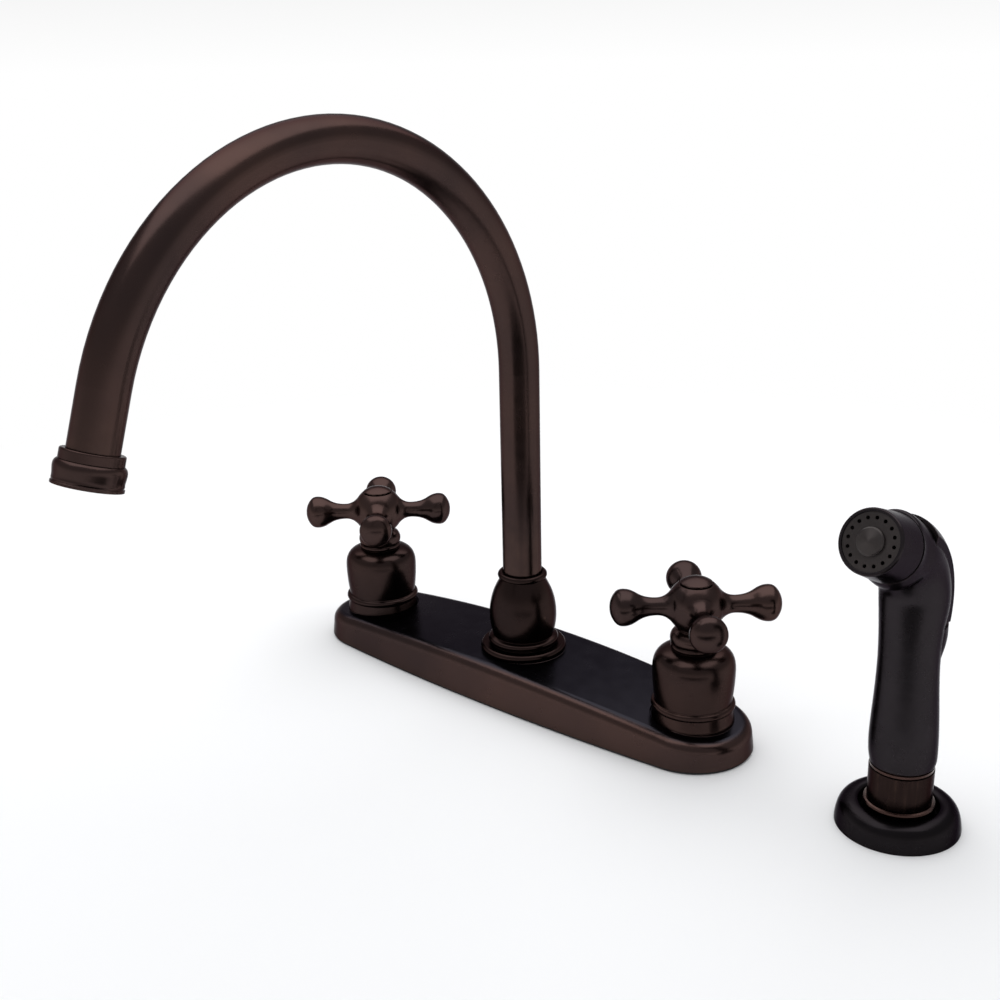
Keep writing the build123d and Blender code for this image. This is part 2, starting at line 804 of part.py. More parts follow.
def make_index_button(side, x):
    """Domed plug that hides the handle screw."""
    plug_radius = button_radius - button_lap
    plug_bottom = crown_height - button_plug
    rim_bottom = crown_height + 0.1
    rim_top = rim_bottom + button_rim
    rise = button_height - rim_top
    dome_radius = (button_radius**2 + rise**2) / (2 * rise)
    with BuildPart() as button:
        with BuildSketch(upright(x)):
            with BuildLine():
                Polyline(
                    (0, plug_bottom),
                    (plug_radius, plug_bottom),
                    (plug_radius, rim_bottom),
                    (button_radius - 0.3, rim_bottom),
                    (button_radius, rim_bottom + 0.3),
                    (button_radius, rim_top),
                )
                RadiusArc((button_radius, rim_top), (0, button_height), -dome_radius)
                Line((0, button_height), (0, plug_bottom))
            make_face()
        revolve(axis=vertical_axis(x))
    finish(button, f"{side}_index_button")


# ---- Waterway and diverter ---------------------------------------------------------------


def make_cross_tube(side, x):
    inward = -math.copysign(1, x)
    near = hub_radius - cross_tube_engagement
    far = hole_pitch - valve_body_radius + cross_tube_engagement
    start = Plane(origin=(-inward * near, 0, cross_tube_height), x_dir=(0, 1, 0), z_dir=(-inward, 0, 0))
    with BuildPart() as tube:
        with BuildSketch(start):
            Circle(cross_tube_radius)
            Circle(cross_tube_radius - cross_tube_wall, mode=Mode.SUBTRACT)
        extrude(amount=far - near)
    finish(tube, f"{side}_cross_tube")


def make_spout_hub():
    """Centre casting: side ports, diverter chamber and the bore that the spout turns in."""
    bore = ferrule_radius + running_gap
    bore_floor = ferrule_bottom - hub_bore_depth
    with BuildPart() as hub:
        with BuildSketch(upright(0)):
            with BuildLine():
                Polyline(
                    (outlet_radius + fit_gap, 0),
                    (hub_radius, 0),
                    (hub_radius, plate_top - 1),
                    (hub_neck_radius, plate_top - 1),
                    (hub_neck_radius, hub_top),
                    (bore, hub_top),
                    (bore, bore_floor),
                    (hub_cavity_radius, bore_floor),
                    (hub_cavity_radius, hub_floor),
                    (outlet_radius + fit_gap, hub_floor),
                    close=True,
                )
            make_face()
        revolve(axis=vertical_axis(0))
        with BuildSketch(Plane.YZ.offset(-hub_radius)):
            with Locations((0, cross_tube_height)):
                Circle(cross_tube_radius + fit_gap)
        extrude(amount=2 * hub_radius, mode=Mode.SUBTRACT)
    finish(hub, "spout_hub")


def make_spray_outlet():
    """Threaded tube in the hub's floor, with a groove under the hub that ends its thread."""
    profile = [
        (outlet_bore, -outlet_length),
        (outlet_radius, -outlet_length),
        (outlet_radius, -relief_width),
        (outlet_radius - relief_depth, -relief_width),
        (outlet_radius - relief_depth, 0),
        (outlet_radius, 0),
        (outlet_radius, hub_floor),
        (outlet_bore, hub_floor),
    ]
    finish(lathe(0, profile), "spray_outlet")


def make_diverter():
    """Diverter seat pressed into the hub above the side ports, and the poppet inside it."""
    low = cross_tube_height + cross_tube_radius + 0.6
    high = ferrule_bottom - hub_bore_depth
    seat = rectangle_profile(diverter_bore, hub_cavity_radius - fit_gap, low, high)
    finish(lathe(0, seat), "diverter_seat")
    with BuildPart() as poppet:
        with BuildSketch(Plane.XY.offset(low - 1)):
            Circle(diverter_bore - stem_clearance)
        extrude(amount=high - low - diverter_lift)
        with BuildSketch(Plane.XY.offset(hub_floor + seat_gap)):
            Circle(outlet_bore + 1)
        extrude(amount=2)
        with BuildSketch(Plane.XY.offset(hub_floor + 1)):
            Circle(1.6)
        extrude(amount=low - hub_floor)
    finish(poppet, "diverter_poppet")


# ---- Barrel and flange under the spout ---------------------------------------------------


def make_spout_flange():
    """Base ring with a rounded rim and a flat top, resting on the plate's crown."""
    bore = hub_neck_radius + fit_gap
    seat_radius = barrel_foot_radius + flange_dish
    rim_top = plate_top + flange_rim_height
    top = flange_top - flange_dish
    with BuildPart() as flange:
        with BuildSketch(upright(0)):
            with BuildLine():
                Line((bore, plate_top), (flange_radius - flange_rounding / 2, plate_top))
                ThreePointArc(
                    (flange_radius - flange_rounding / 2, plate_top),
                    (flange_radius, plate_top + flange_rim_height / 2),
                    (flange_radius - flange_rounding, rim_top),
                )
                Polyline(
                    (flange_radius - flange_rounding, rim_top),
                    (barrel_ring_radius, top),
                    (seat_radius, top),
                    (seat_radius, flange_top),
                    (bore, flange_top),
                    (bore, plate_top),
                )
            make_face()
        revolve(axis=vertical_axis(0))
    finish(flange, "spout_flange")


def make_spout_barrel():
    """Barrel nut: screws onto the hub, clamps the flange and holds the spout down."""
    ring_middle = (flange_top + barrel_ring_top) / 2
    lip_bore = tube_radius + 0.4
    shoulder_top = hub_top + bearing_thickness + seat_gap + ferrule_shoulder_height
    bore = hub_neck_radius + fit_gap
    pocket = ferrule_shoulder_radius + 0.4
    ring_edge = barrel_ring_radius - barrel_ring_rounding
    foot = (barrel_foot_radius - 0.3, barrel_ring_top + 0.6)
    bead_foot = barrel_bead_radius - barrel_bead_depth
    bead_low = barrel_bead_height - barrel_bead_half
    with BuildPart() as barrel:
        with BuildSketch(upright(0)):
            with BuildLine():
                Line((bore, flange_top), (ring_edge, flange_top))
                ThreePointArc(
                    (ring_edge, flange_top),
                    (barrel_ring_radius, ring_middle),
                    (ring_edge, barrel_ring_top),
                )
                Line((ring_edge, barrel_ring_top), foot)
                Spline(
                    foot,
                    (barrel_radius, barrel_widest),
                    (barrel_radius - 1.9, barrel_widest + 13),
                    (bead_foot, bead_low),
                    tangents=[(0.3, 1), (-0.55, 1)],
                )
                ThreePointArc(
                    (bead_foot, bead_low),
                    (barrel_bead_radius, barrel_bead_height),
                    (bead_foot, barrel_top),
                )
                Polyline(
                    (bead_foot, barrel_top),
                    (lip_bore, barrel_top),
                    (lip_bore, shoulder_top + seat_gap),
                    (pocket, shoulder_top + seat_gap),
                    (pocket, hub_top + bearing_thickness),
                    (bore, hub_top),
                    (bore, flange_top),
                )
            make_face()
        revolve(axis=vertical_axis(0))
    finish(barrel, "spout_barrel")


def make_bearing_ring():
    outer = ferrule_shoulder_radius + 0.3
    top = hub_top + bearing_thickness
    profile = rectangle_profile(ferrule_radius + running_gap, outer, hub_top, top)
    finish(lathe(0, profile), "spout_bearing_ring")


# ---- Spout -------------------------------------------------------------------------------


def outlet_plane(setback):
    """Plane across the outlet, this far back up the tube, facing back up the tube."""
    back = (0, math.sin(splay), math.cos(splay))
    return Plane(
        origin=(0, outlet_y + setback * back[1], outlet_z + setback * back[2]),
        x_dir=(1, 0, 0),
        z_dir=back,
    )


def make_spout_tube():
    end = outlet_plane(tube_end_setback).origin
    mid_angle = math.radians(arch_angle / 2)
    mid_y = -arch_radius * (1 - math.cos(mid_angle))
    mid_z = riser_top + arch_radius * math.sin(mid_angle)
    with BuildPart() as tube:
        with BuildLine():
            Line((0, 0, tube_bottom), (0, 0, riser_top))
            ThreePointArc((0, 0, riser_top), (0, mid_y, mid_z), (0, arch_end_y, arch_end_z))
            Line((0, arch_end_y, arch_end_z), (0, end.Y, end.Z))
        with BuildSketch(Plane.XY.offset(tube_bottom)):
            Circle(tube_radius)
            Circle(tube_radius - tube_wall, mode=Mode.SUBTRACT)
        sweep()
    finish(tube, "spout_tube")


def make_spout_ferrule():
    """Brass end on the tube, with a shoulder to hold it down and two seal grooves."""
    groove = ferrule_radius - o_ring_groove_depth
    low = ferrule_bottom
    shoulder = hub_top + bearing_thickness + seat_gap
    half = o_ring_section + 0.15
    steps = []
    for level in o_ring_levels:
        steps += [
            (ferrule_radius, level - half),
            (groove, level - half),
            (groove, level + half),
            (ferrule_radius, level + half),
        ]
    with BuildPart() as ferrule:
        with BuildSketch(upright(0)):
            with BuildLine():
                Polyline(
                    (tube_radius - ferrule_wall, low),
                    (ferrule_radius, low),
                    *steps,
                    (ferrule_radius, shoulder),
                    (ferrule_shoulder_radius, shoulder),
                    (ferrule_shoulder_radius, shoulder + ferrule_shoulder_height),
                    (tube_radius, shoulder + ferrule_shoulder_height),
                    (tube_radius, tube_bottom),
                    (tube_radius - ferrule_wall, tube_bottom),
                    close=True,
                )
            make_face()
        revolve(axis=vertical_axis(0))
    finish(ferrule, "spout_ferrule")


def make_spout_seals():
    centre = ferrule_radius + 0.06 - o_ring_section
    with BuildPart() as seals:
        with BuildSketch(upright(0)):
            with Locations(*[(centre, level) for level in o_ring_levels]):
                Circle(o_ring_section)
        revolve(axis=vertical_axis(0))
    finish(seals, "spout_seals")


def make_outlet_collar():
    """Collar brazed on the tube, with the nose that the aerator screws onto."""
    nose = aerator_radius - aerator_wall - fit_gap
    nose_setback = aerator_rim + screen_thickness + aerator_washer_thickness
    with BuildPart() as collar:
        with BuildSketch(outlet_plane(aerator_length)):
            Circle(outlet_collar_radius)
        extrude(amount=outlet_collar_length)
        fillet(collar.edges().group_by(normal_axis(outlet_plane(0)))[-1], 0.7)
        with BuildSketch(outlet_plane(nose_setback)):
            Circle(nose)
        extrude(amount=aerator_length - nose_setback)
        with BuildSketch(outlet_plane(0)):
            Circle(tube_radius - tube_wall)
        extrude(amount=tube_end_setback, mode=Mode.SUBTRACT)
        with BuildSketch(outlet_plane(tube_end_setback)):
            Circle(tube_radius)
        extrude(amount=outlet_collar_length, mode=Mode.SUBTRACT)
    finish(collar, "outlet_collar")


def make_aerator():
    """Housing, its perforated screen and the washer above the screen."""
    inner = aerator_radius - aerator_wall
    lip_radius = aerator_radius - aerator_lip
    with BuildPart() as housing:
        with BuildSketch(beside(outlet_plane(0))):
            with BuildLine():
                Polyline(
                    (lip_radius, 0),
                    (aerator_radius + 0.1, 0),
                    (aerator_radius + 0.1, aerator_rim - 0.2),
                    (aerator_radius - 0.35, aerator_rim + 0.2),
                    (aerator_radius - 0.1, aerator_rim + 0.8),
                )
                Spline(
                    (aerator_radius - 0.1, aerator_rim + 0.8),
                    (aerator_radius + 0.15, aerator_length - 3.0),
                    (aerator_radius - 0.1, aerator_length - 1.2),
                    (aerator_radius - 1.0, aerator_length - 0.1),
                )
                Polyline(
                    (aerator_radius - 1.0, aerator_length - 0.1),
                    (inner, aerator_length - 0.1),
                    (inner, aerator_rim),
                    (lip_radius, aerator_rim),
                    (lip_radius, 0),
                )
            make_face()
        revolve(axis=normal_axis(outlet_plane(0)))
    finish(housing, "aerator_housing")
    with BuildPart() as screen:
        with BuildSketch(outlet_plane(aerator_rim)):
            Circle(inner - fit_gap)
            Circle(screen_hole_radius, mode=Mode.SUBTRACT)
            for ring in (1, 2, 3):
                with PolarLocations(screen_hole_pitch * ring, 6 * ring):
                    Circle(screen_hole_radius, mode=Mode.SUBTRACT)
        extrude(amount=screen_thickness)
    finish(screen, "aerator_screen")
    with BuildPart() as washer:
        with BuildSketch(outlet_plane(aerator_rim + screen_thickness)):
            Circle(inner - fit_gap)
            Circle(tube_radius - tube_wall, mode=Mode.SUBTRACT)
        extrude(amount=aerator_washer_thickness)
    finish(washer, "aerator_washer")


# ---- Sprayer holder ----------------------------------------------------------------------


def make_spray_holder():
    """Domed deck flange with a well for the wand and a threaded tail through the deck."""
    crest = (holder_well_radius + holder_crest_inset, holder_height)
    well_edge = (holder_well_radius, holder_height - holder_crest_drop)
    with BuildPart() as holder:
        with BuildSketch(upright(sprayer_x)):
            with BuildLine():
                Polyline(
                    (holder_bore, -holder_tail_length),
                    (holder_tail_radius, -holder_tail_length),
                    (holder_tail_radius, relief_bottom),
                    (holder_tail_radius - relief_depth, relief_bottom),
                    (holder_tail_radius - relief_depth, nut_bottom),
                    (holder_tail_radius, nut_bottom),
                    (holder_tail_radius, 0),
                    (holder_radius, 0),
                    (holder_radius, holder_edge),
                )
                Spline((holder_radius, holder_edge), crest, tangents=[(-0.1, 1), (-1, 0)])
                Spline(crest, well_edge, tangents=[(-1, 0), (-0.3, -1)])
                Polyline(
                    well_edge,
                    (holder_well_radius, holder_well_floor),
                    (holder_bore, holder_well_floor),
                    (holder_bore, -holder_tail_length),
                )
            make_face()
        revolve(axis=vertical_axis(sprayer_x))
    finish(holder, "spray_holder")


def make_holder_liner():
    """Bushing in the holder: its bright ring carries the wand, its bore guides the tail."""
    sleeve = holder_bore - fit_gap
    profile = [
        (liner_bore, liner_bottom),
        (sleeve, liner_bottom),
        (sleeve, holder_well_floor),
        (liner_ring_radius, holder_well_floor),
        (liner_ring_radius, liner_top - liner_rounding),
        (liner_ring_radius - 0.3 * liner_rounding, liner_top - 0.3 * liner_rounding),
        (liner_ring_radius - liner_rounding, liner_top),
        (liner_bore, liner_top),
    ]
    finish(lathe(sprayer_x, profile), "holder_liner")


# ---- Sprayer wand ------------------------------------------------------------------------


def elbow_section(turned):
    """Plane across the head's elbow after turning this many degrees from upright."""
    angle = math.radians(turned)
    outward = Vector(0, math.cos(angle), math.sin(angle))
    along = (0, -math.sin(angle), math.cos(angle))
    return Plane(origin=elbow_centre + outward * elbow_radius, x_dir=(1, 0, 0), z_dir=along)


def nozzle_plane(forward):
    """Plane across the nozzle, this far in front of the head's parting line."""
    mouth = elbow_section(elbow_turn)
    return Plane(
        origin=mouth.origin + mouth.z_dir * (head_straight + forward),
        x_dir=(1, 0, 0),
        z_dir=mouth.z_dir,
    )


# height, shift along Y and radius up the grip
grip_sections = [
    (grip_bottom, 0.0, band_radius - 0.2),
    (grip_bottom + 4.5, -0.2, grip_swell_radius),
    (52.0, -1.0, 13.05),
    (grip_waist_height, -1.9, grip_waist_radius),
    (elbow_start - 10, -1.9, 12.6),
]

# the same up the bulge on the grip's back, under the end of the lever
finger_stop_sections = [
    (grip_waist_height - 1.5, -1.6, grip_waist_radius - 0.9),
    (grip_waist_height + 3.0, 0.4, grip_waist_radius - 0.6),
    (grip_waist_height + 8.0, 2.7, grip_waist_radius - 0.3),
    (grip_waist_height + 14.0, 2.6, grip_waist_radius),
    (elbow_start - 9.5, 2.2, grip_waist_radius + 0.1),
]


def wand_loft(inset):
    """Solid grip and head through round sections, moved in by inset."""
    with BuildPart() as solid:
        for height, sway, radius in grip_sections:
            with BuildSketch(Plane(origin=(sprayer_x, sway, height), z_dir=(0, 0, 1))):
                Circle(radius - inset)
        for turned in (0, 22, 44, elbow_turn):
            with BuildSketch(elbow_section(turned)):
                Circle(head_radius - inset)
        with BuildSketch(nozzle_plane(0)):
            Circle(head_radius - inset)
        loft()
    return solid


def back_crescent(low_radius, high_radius, half_width, sill, low_angle, high_angle):
    """Strip round the elbow's back, between two radii from its centreline.

    It spans half_width to either side and starts at sill behind the centreline.
    """
    low = math.radians(low_angle)
    start = Plane(
        origin=elbow_centre,
        x_dir=(1, 0, 0),
        z_dir=(0, -math.sin(low), math.cos(low)),
    )
    with BuildPart() as crescent:
        with BuildSketch(start):
            with Locations((0, elbow_radius)):
                Circle(high_radius)
                Circle(low_radius, mode=Mode.SUBTRACT)
            with Locations((0, elbow_radius + sill)):
                Rectangle(
                    2 * half_width,
                    high_radius - sill,
                    align=(Align.CENTER, Align.MIN),
                    mode=Mode.INTERSECT,
                )
        revolve(axis=Axis(elbow_centre, (1, 0, 0)), revolution_arc=high_angle - low_angle)
    return crescent


def make_tail():
    """Foot of the wand: guide, band that rests on the liner and spigot inside the grip."""
    profile = [
        (connector_spigot + fit_gap, wand_guide_bottom),
        (wand_guide_radius, wand_guide_bottom),
        (wand_guide_radius, wand_seat),
        (band_radius, wand_seat),
        (band_radius, band_top),
        (tail_spigot_radius, band_top),
        (tail_spigot_radius, tail_spigot_top),
        (wand_bore, tail_spigot_top),
        (wand_bore, 0),
        (connector_spigot + fit_gap, 0),
    ]
    finish(lathe(sprayer_x, profile), "tail_ferrule")
    groove_radius = ring_radius - ring_groove
    ring = [
        (tail_spigot_radius, band_top),
        (groove_radius, band_top),
        (groove_radius, band_top + ring_groove),
        (ring_radius, band_top + ring_groove),
        (ring_radius, grip_bottom - ring_groove),
        (groove_radius, grip_bottom - ring_groove),
        (groove_radius, grip_bottom),
        (tail_spigot_radius, grip_bottom),
    ]
    finish(lathe(sprayer_x, ring), "tail_ring")
    connector_bottom = wand_guide_bottom - connector_length
    connector = [
        (connector_bore, connector_bottom),
        (connector_radius, connector_bottom),
        (connector_radius, wand_guide_bottom),
        (connector_spigot, wand_guide_bottom),
        (connector_spigot, 0),
        (connector_bore, 0),
    ]
    finish(lathe(sprayer_x, connector), "hose_connector")


def finger_stop():
    """Bulge on the grip's back, under the end of the lever."""
    with BuildPart() as stop:
        for height, shift, radius in finger_stop_sections:
            with BuildSketch(Plane(origin=(sprayer_x, shift, height), z_dir=(0, 0, 1))):
                Circle(radius)
        loft()
    return stop


def pin_cheeks():
    """The two blocks inside the head that hold the lever's pin."""
    room = wand_loft(head_radius - cheek_radius)
    across = elbow_section(pivot_angle)
    slot = lug_half_width + cheek_gap
    with BuildPart() as cheeks:
        with BuildSketch(across):
            with Locations((0, cheek_sill)):
                Rectangle(2 * head_radius, 2 * head_radius, align=(Align.CENTER, Align.MIN))
            with Locations((0, cheek_sill)):
                Rectangle(
                    2 * slot, 2 * head_radius, align=(Align.CENTER, Align.MIN), mode=Mode.SUBTRACT
                )
        extrude(amount=cheek_half_length, both=True)
        add(room.part, mode=Mode.INTERSECT)
    return cheeks


def make_wand_shell():
    """Hollow grip and head, with a window at the back for the lever."""
    outside = wand_loft(0)
    inside = wand_loft(grip_wall)
    stop = finger_stop()
    cheeks = pin_cheeks()
    opening = lever_half_width + lever_side_gap
    window = back_crescent(
        head_radius - grip_wall - 1,
        lever_out + 2,
        opening,
        window_sill,
        window_low_angle,
        window_high_angle,
    )
    with BuildPart() as shell:
        add(outside.part)
        add(stop.part)
        add(inside.part, mode=Mode.SUBTRACT)
        add(window.part, mode=Mode.SUBTRACT)
        with BuildSketch(Plane.XY.offset(notch_floor)):
            with Locations((sprayer_x, notch_back)):
                Rectangle(2 * opening, 2 * opening, align=(Align.CENTER, Align.MIN))
        extrude(amount=notch_top - notch_floor, mode=Mode.SUBTRACT)
        with BuildSketch(Plane.XY.offset(well_floor)):
            with Locations((sprayer_x, well_shift)):
                Circle(well_radius)
        extrude(amount=notch_floor - well_floor, mode=Mode.SUBTRACT)
        add(cheeks.part)
        with BuildSketch(Plane.YZ.offset(sprayer_x - pin_half_length - fit_gap)):
            with Locations((pivot_y, pivot_z)):
                Circle(pin_radius + fit_gap)
        extrude(amount=2 * (pin_half_length + fit_gap), mode=Mode.SUBTRACT)
    finish(shell, "wand_shell")


def make_trigger():
    """Lever over the head's back, with the lug that turns on the pin and presses the stem."""
    lever = back_crescent(
        lever_in, lever_out, lever_half_width, lever_sill, lever_low_angle, lever_high_angle
    )
    reach = elbow_radius + (lever_in + lever_out) / 2
    pusher_half = spray_stem_radius + 0.4
    top_at_pusher = elbow_centre.Z + math.sqrt(reach**2 - (pusher_half - elbow_centre.Y) ** 2)
    top_at_pivot = elbow_centre.Z + math.sqrt(reach**2 - (pivot_y - elbow_centre.Y) ** 2)
    with BuildPart() as trigger:
        add(lever.part)
        with BuildSketch(Plane.XY.offset(lever_foot)):
            with Locations((sprayer_x, 0)):
                Rectangle(4 * head_radius, 4 * head_radius)
        extrude(amount=-head_radius, mode=Mode.SUBTRACT)
        with BuildSketch(Plane.YZ.offset(sprayer_x - lug_half_width)):
            with BuildLine():
                Polyline(
                    (pivot_y - lug_boss_radius * 0.8, pivot_z - 1),
                    (-pusher_half, pusher_height),
                    (pusher_half, pusher_height),
                    (pusher_half, top_at_pusher),
                    (pivot_y, top_at_pivot),
                    close=True,
                )
            make_face()
            with Locations((pivot_y, pivot_z)):
                Circle(lug_boss_radius)
        extrude(amount=2 * lug_half_width)
        with BuildSketch(Plane.YZ.offset(sprayer_x - lug_half_width)):
            with Locations((pivot_y, pivot_z)):
                Circle(pin_radius + pin_clearance)
        extrude(amount=2 * lug_half_width, mode=Mode.SUBTRACT)
    finish(trigger, "trigger_lever")
    with BuildPart() as pin:
        with BuildSketch(Plane.YZ.offset(sprayer_x - pin_half_length)):
            with Locations((pivot_y, pivot_z)):
                Circle(pin_radius)
        extrude(amount=2 * pin_half_length)
    finish(pin, "trigger_pin")


def make_spray_valve():
    """Valve body on the tail's spigot, its stem, and the spring under the stem's collar."""
    guide = spray_stem_radius + stem_clearance
    chamber = spray_stem_radius + 1
    base_top = tail_spigot_top + 4
    boss_top = spray_port_height + 8
    with BuildPart() as body:
        with BuildSketch(upright(sprayer_x)):
            with BuildLine():
                Polyline(
                    (spray_valve_bore, tail_spigot_top),
                    (tail_spigot_radius - 0.2, tail_spigot_top),
                    (tail_spigot_radius - 0.2, base_top),
                    (spray_valve_radius, base_top),
                    (spray_valve_radius, boss_top),
                    (spring_radius + 1, boss_top),
                    (spring_radius + 1, spring_bottom),
                    (guide, spring_bottom),
                    (guide, boss_top),
                    (chamber, boss_top - 1),
                    (chamber, spray_valve_seat + 4),
                    (spray_stem_radius + 0.5, spray_valve_seat + 3),
                    (spray_stem_radius + 0.5, spray_valve_seat),
                    (spray_valve_bore, spray_valve_seat),
                    close=True,
                )
            make_face()
        revolve(axis=vertical_axis(sprayer_x))
        with BuildSketch(Plane.XY.offset(spray_port_height - 4)):
            with Locations((sprayer_x, -water_tube_setback)):
                Circle(water_tube_radius + 0.8)
        extrude(amount=boss_top - spray_port_height + 4)
        with BuildSketch(Plane.XY.offset(spray_port_height + 2)):
            with Locations((sprayer_x, -water_tube_setback)):
                Circle(water_tube_radius)
        extrude(amount=boss_top - spray_port_height - 2, mode=Mode.SUBTRACT)
        with BuildSketch(Plane.XY.offset(spray_port_height - 2)):
            with Locations((sprayer_x, -water_tube_setback)):
                Circle(water_tube_radius - water_tube_wall)
        extrude(amount=4, mode=Mode.SUBTRACT)
        with BuildSketch(Plane.XZ.offset(spray_stem_radius)):
            with Locations((sprayer_x, spray_port_height)):
                Circle(1.5)
        extrude(amount=water_tube_setback - spray_stem_radius, mode=Mode.SUBTRACT)
    finish(body, "spray_valve_body")
    stem = [
        (0, spray_stem_bottom),
        (spray_valve_head - 1, spray_stem_bottom),
        (spray_valve_head, spray_stem_bottom + 1),
        (spray_valve_head, spray_valve_seat - seat_gap),
        (spray_stem_radius, spray_valve_seat - seat_gap),
        (spray_stem_radius, spring_top),
        (spring_collar_radius, spring_top),
        (spring_collar_radius, spring_top + 2),
        (spray_stem_radius, spring_top + 2),
        (spray_stem_radius, pusher_height - seat_gap - 0.6),
        (spray_stem_radius - 0.6, pusher_height - seat_gap),
        (0, pusher_height - seat_gap),
    ]
    finish(lathe(sprayer_x, stem), "spray_valve_stem")
    coil_length = spring_top - spring_bottom - 2 * spring_wire - fit_gap
    with BuildPart() as spring:
        with BuildLine() as coil:
            Helix(
                pitch=coil_length / spring_turns,
                height=coil_length,
                radius=spring_radius,
                center=(sprayer_x, 0, spring_bottom + spring_wire + fit_gap / 2),
            )
        with BuildSketch(Plane(origin=coil.line @ 0, z_dir=coil.line % 0)):
            Circle(spring_wire)
        sweep(is_frenet=True)
    finish(spring, "stem_spring")


def make_water_tube():
    """Tube from the valve's side port round the elbow to the nozzle."""
    bend = elbow_radius - elbow_lean - water_tube_setback
    mouth = elbow_section(elbow_turn)
    outward = (mouth.origin - elbow_centre).normalized()
    bend_end = elbow_centre + outward * bend
    half = math.radians(elbow_turn / 2)
    bend_middle = elbow_centre + Vector(0, math.cos(half), math.sin(half)) * bend
    tip = bend_end + mouth.z_dir * (head_straight + web_back + 2)
    foot = Vector(sprayer_x, -water_tube_setback, spray_port_height + 2)
    bend_start = Vector(sprayer_x, -water_tube_setback, elbow_start)
    with BuildPart() as tube:
        with BuildLine():
            Line(foot, bend_start)
            ThreePointArc(bend_start, bend_middle, bend_end)
            Line(bend_end, tip)
        with BuildSketch(Plane(origin=foot, z_dir=(0, 0, 1))):
            Circle(water_tube_radius)
            Circle(water_tube_radius - water_tube_wall, mode=Mode.SUBTRACT)
        sweep()
    finish(tube, "water_tube")


def nozzle_lathe(*points):
    """Turn one (radius, forward) profile about the nozzle's axis."""
    with BuildPart() as turned:
        with BuildSketch(beside(nozzle_plane(0))):
            with BuildLine():
                Polyline(*points, close=True)
            make_face()
        revolve(axis=normal_axis(nozzle_plane(0)))
    return turned


def make_nozzle():
    """Nozzle collar, the perforated spray face and the cone in its middle."""
    spigot = head_radius - grip_wall - nozzle_spigot_gap
    spigot_bore = spigot - nozzle_spigot_wall
    face_front = nozzle_length - face_recess
    face_back = face_front - face_thickness
    chamber = face_radius - face_lap
    web_front = web_back + web_thickness
    cone_shaft = face_button_radius - 2.3
    tube_offset = elbow_lean + water_tube_setback
    blank = nozzle_lathe(
        (spigot_bore, -nozzle_spigot_length),
        (spigot, -nozzle_spigot_length),
        (spigot, parting_gap),
        (head_radius - nozzle_rounding, parting_gap),
        (head_radius, parting_gap + nozzle_rounding),
        (nozzle_front_radius, nozzle_length - nozzle_rounding),
        (nozzle_front_radius - nozzle_rounding, nozzle_length),
        (face_radius + fit_gap, nozzle_length),
        (face_radius + fit_gap, face_back),
        (chamber, face_back),
        (chamber, web_front),
        (cone_shaft, web_front),
        (cone_shaft, web_back),
        (spigot_bore, web_back),
    )
    with BuildPart() as collar:
        add(blank.part)
        with BuildSketch(nozzle_plane(web_back)):
            with Locations((0, -tube_offset)):
                Circle(water_tube_radius)
        extrude(amount=2, mode=Mode.SUBTRACT)
        with BuildSketch(nozzle_plane(web_back)):
            with Locations((0, -tube_offset)):
                Circle(water_tube_radius - water_tube_wall)
        extrude(amount=web_thickness, mode=Mode.SUBTRACT)
    finish(collar, "nozzle_collar")
    disc = nozzle_lathe(
        (cone_shaft, face_back - face_lap),
        (chamber - fit_gap, face_back - face_lap),
        (chamber - fit_gap, face_back),
        (face_radius, face_back),
        (face_radius, face_front),
        (cone_shaft, face_front),
    )
    with BuildPart() as face:
        add(disc.part)
        with BuildSketch(nozzle_plane(face_back - face_lap)):
            with PolarLocations(face_hole_ring, face_hole_count):
                Circle(face_hole_radius)
        extrude(amount=face_thickness + face_lap, mode=Mode.SUBTRACT)
    finish(face, "spray_face")
    cone = nozzle_lathe(
        (0, web_back + 0.5),
        (cone_shaft - 0.05, web_back + 0.5),
        (cone_shaft - 0.05, face_front),
        (face_button_radius, face_front),
        (face_button_radius, face_front + face_button_wall),
        (face_button_radius - 0.5, face_front + face_button_wall + 0.4),
        (0, face_front + face_button_rise),
    )
    finish(cone, "face_cone")


def make_valve_set(side, x):
    make_valve_body(side, x)
    make_inlet_shank(side, x)
    make_bell(side, x)
    make_cartridge(side, x)
    make_fixed_disc(side, x)
    make_turning_disc(side, x)
    make_stem(side, x)
    make_stem_seal(side, x)
    make_cross_handle(side, x)
    make_handle_screw(side, x)
    make_index_button(side, x)
    make_cross_tube(side, x)


make_deck_plate()
make_deck_gasket()
make_valve_set("hot", -hole_pitch)
make_valve_set("cold", hole_pitch)
make_spout_hub()
make_spray_outlet()
make_diverter()
make_spout_flange()
make_spout_barrel()
make_bearing_ring()
make_spout_tube()
make_spout_ferrule()
make_spout_seals()
make_outlet_collar()
make_aerator()
make_spray_holder()
make_holder_liner()
make_washers("shank_washers", (-hole_pitch, hole_pitch), shank_radius + 0.2, washer_radius)
make_mounting_nuts("shank_nuts", (-hole_pitch, hole_pitch), shank_radius + fit_gap, nut_flats)
make_washers("holder_washer", [sprayer_x], holder_tail_radius + 0.2, holder_washer_radius)
make_mounting_nuts("holder_nut", [sprayer_x], holder_tail_radius + fit_gap, holder_nut_flats)
make_tail()
make_wand_shell()
make_trigger()
make_spray_valve()
make_water_tube()
make_nozzle()
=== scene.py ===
import math

import bpy
from mathutils import Matrix, Vector


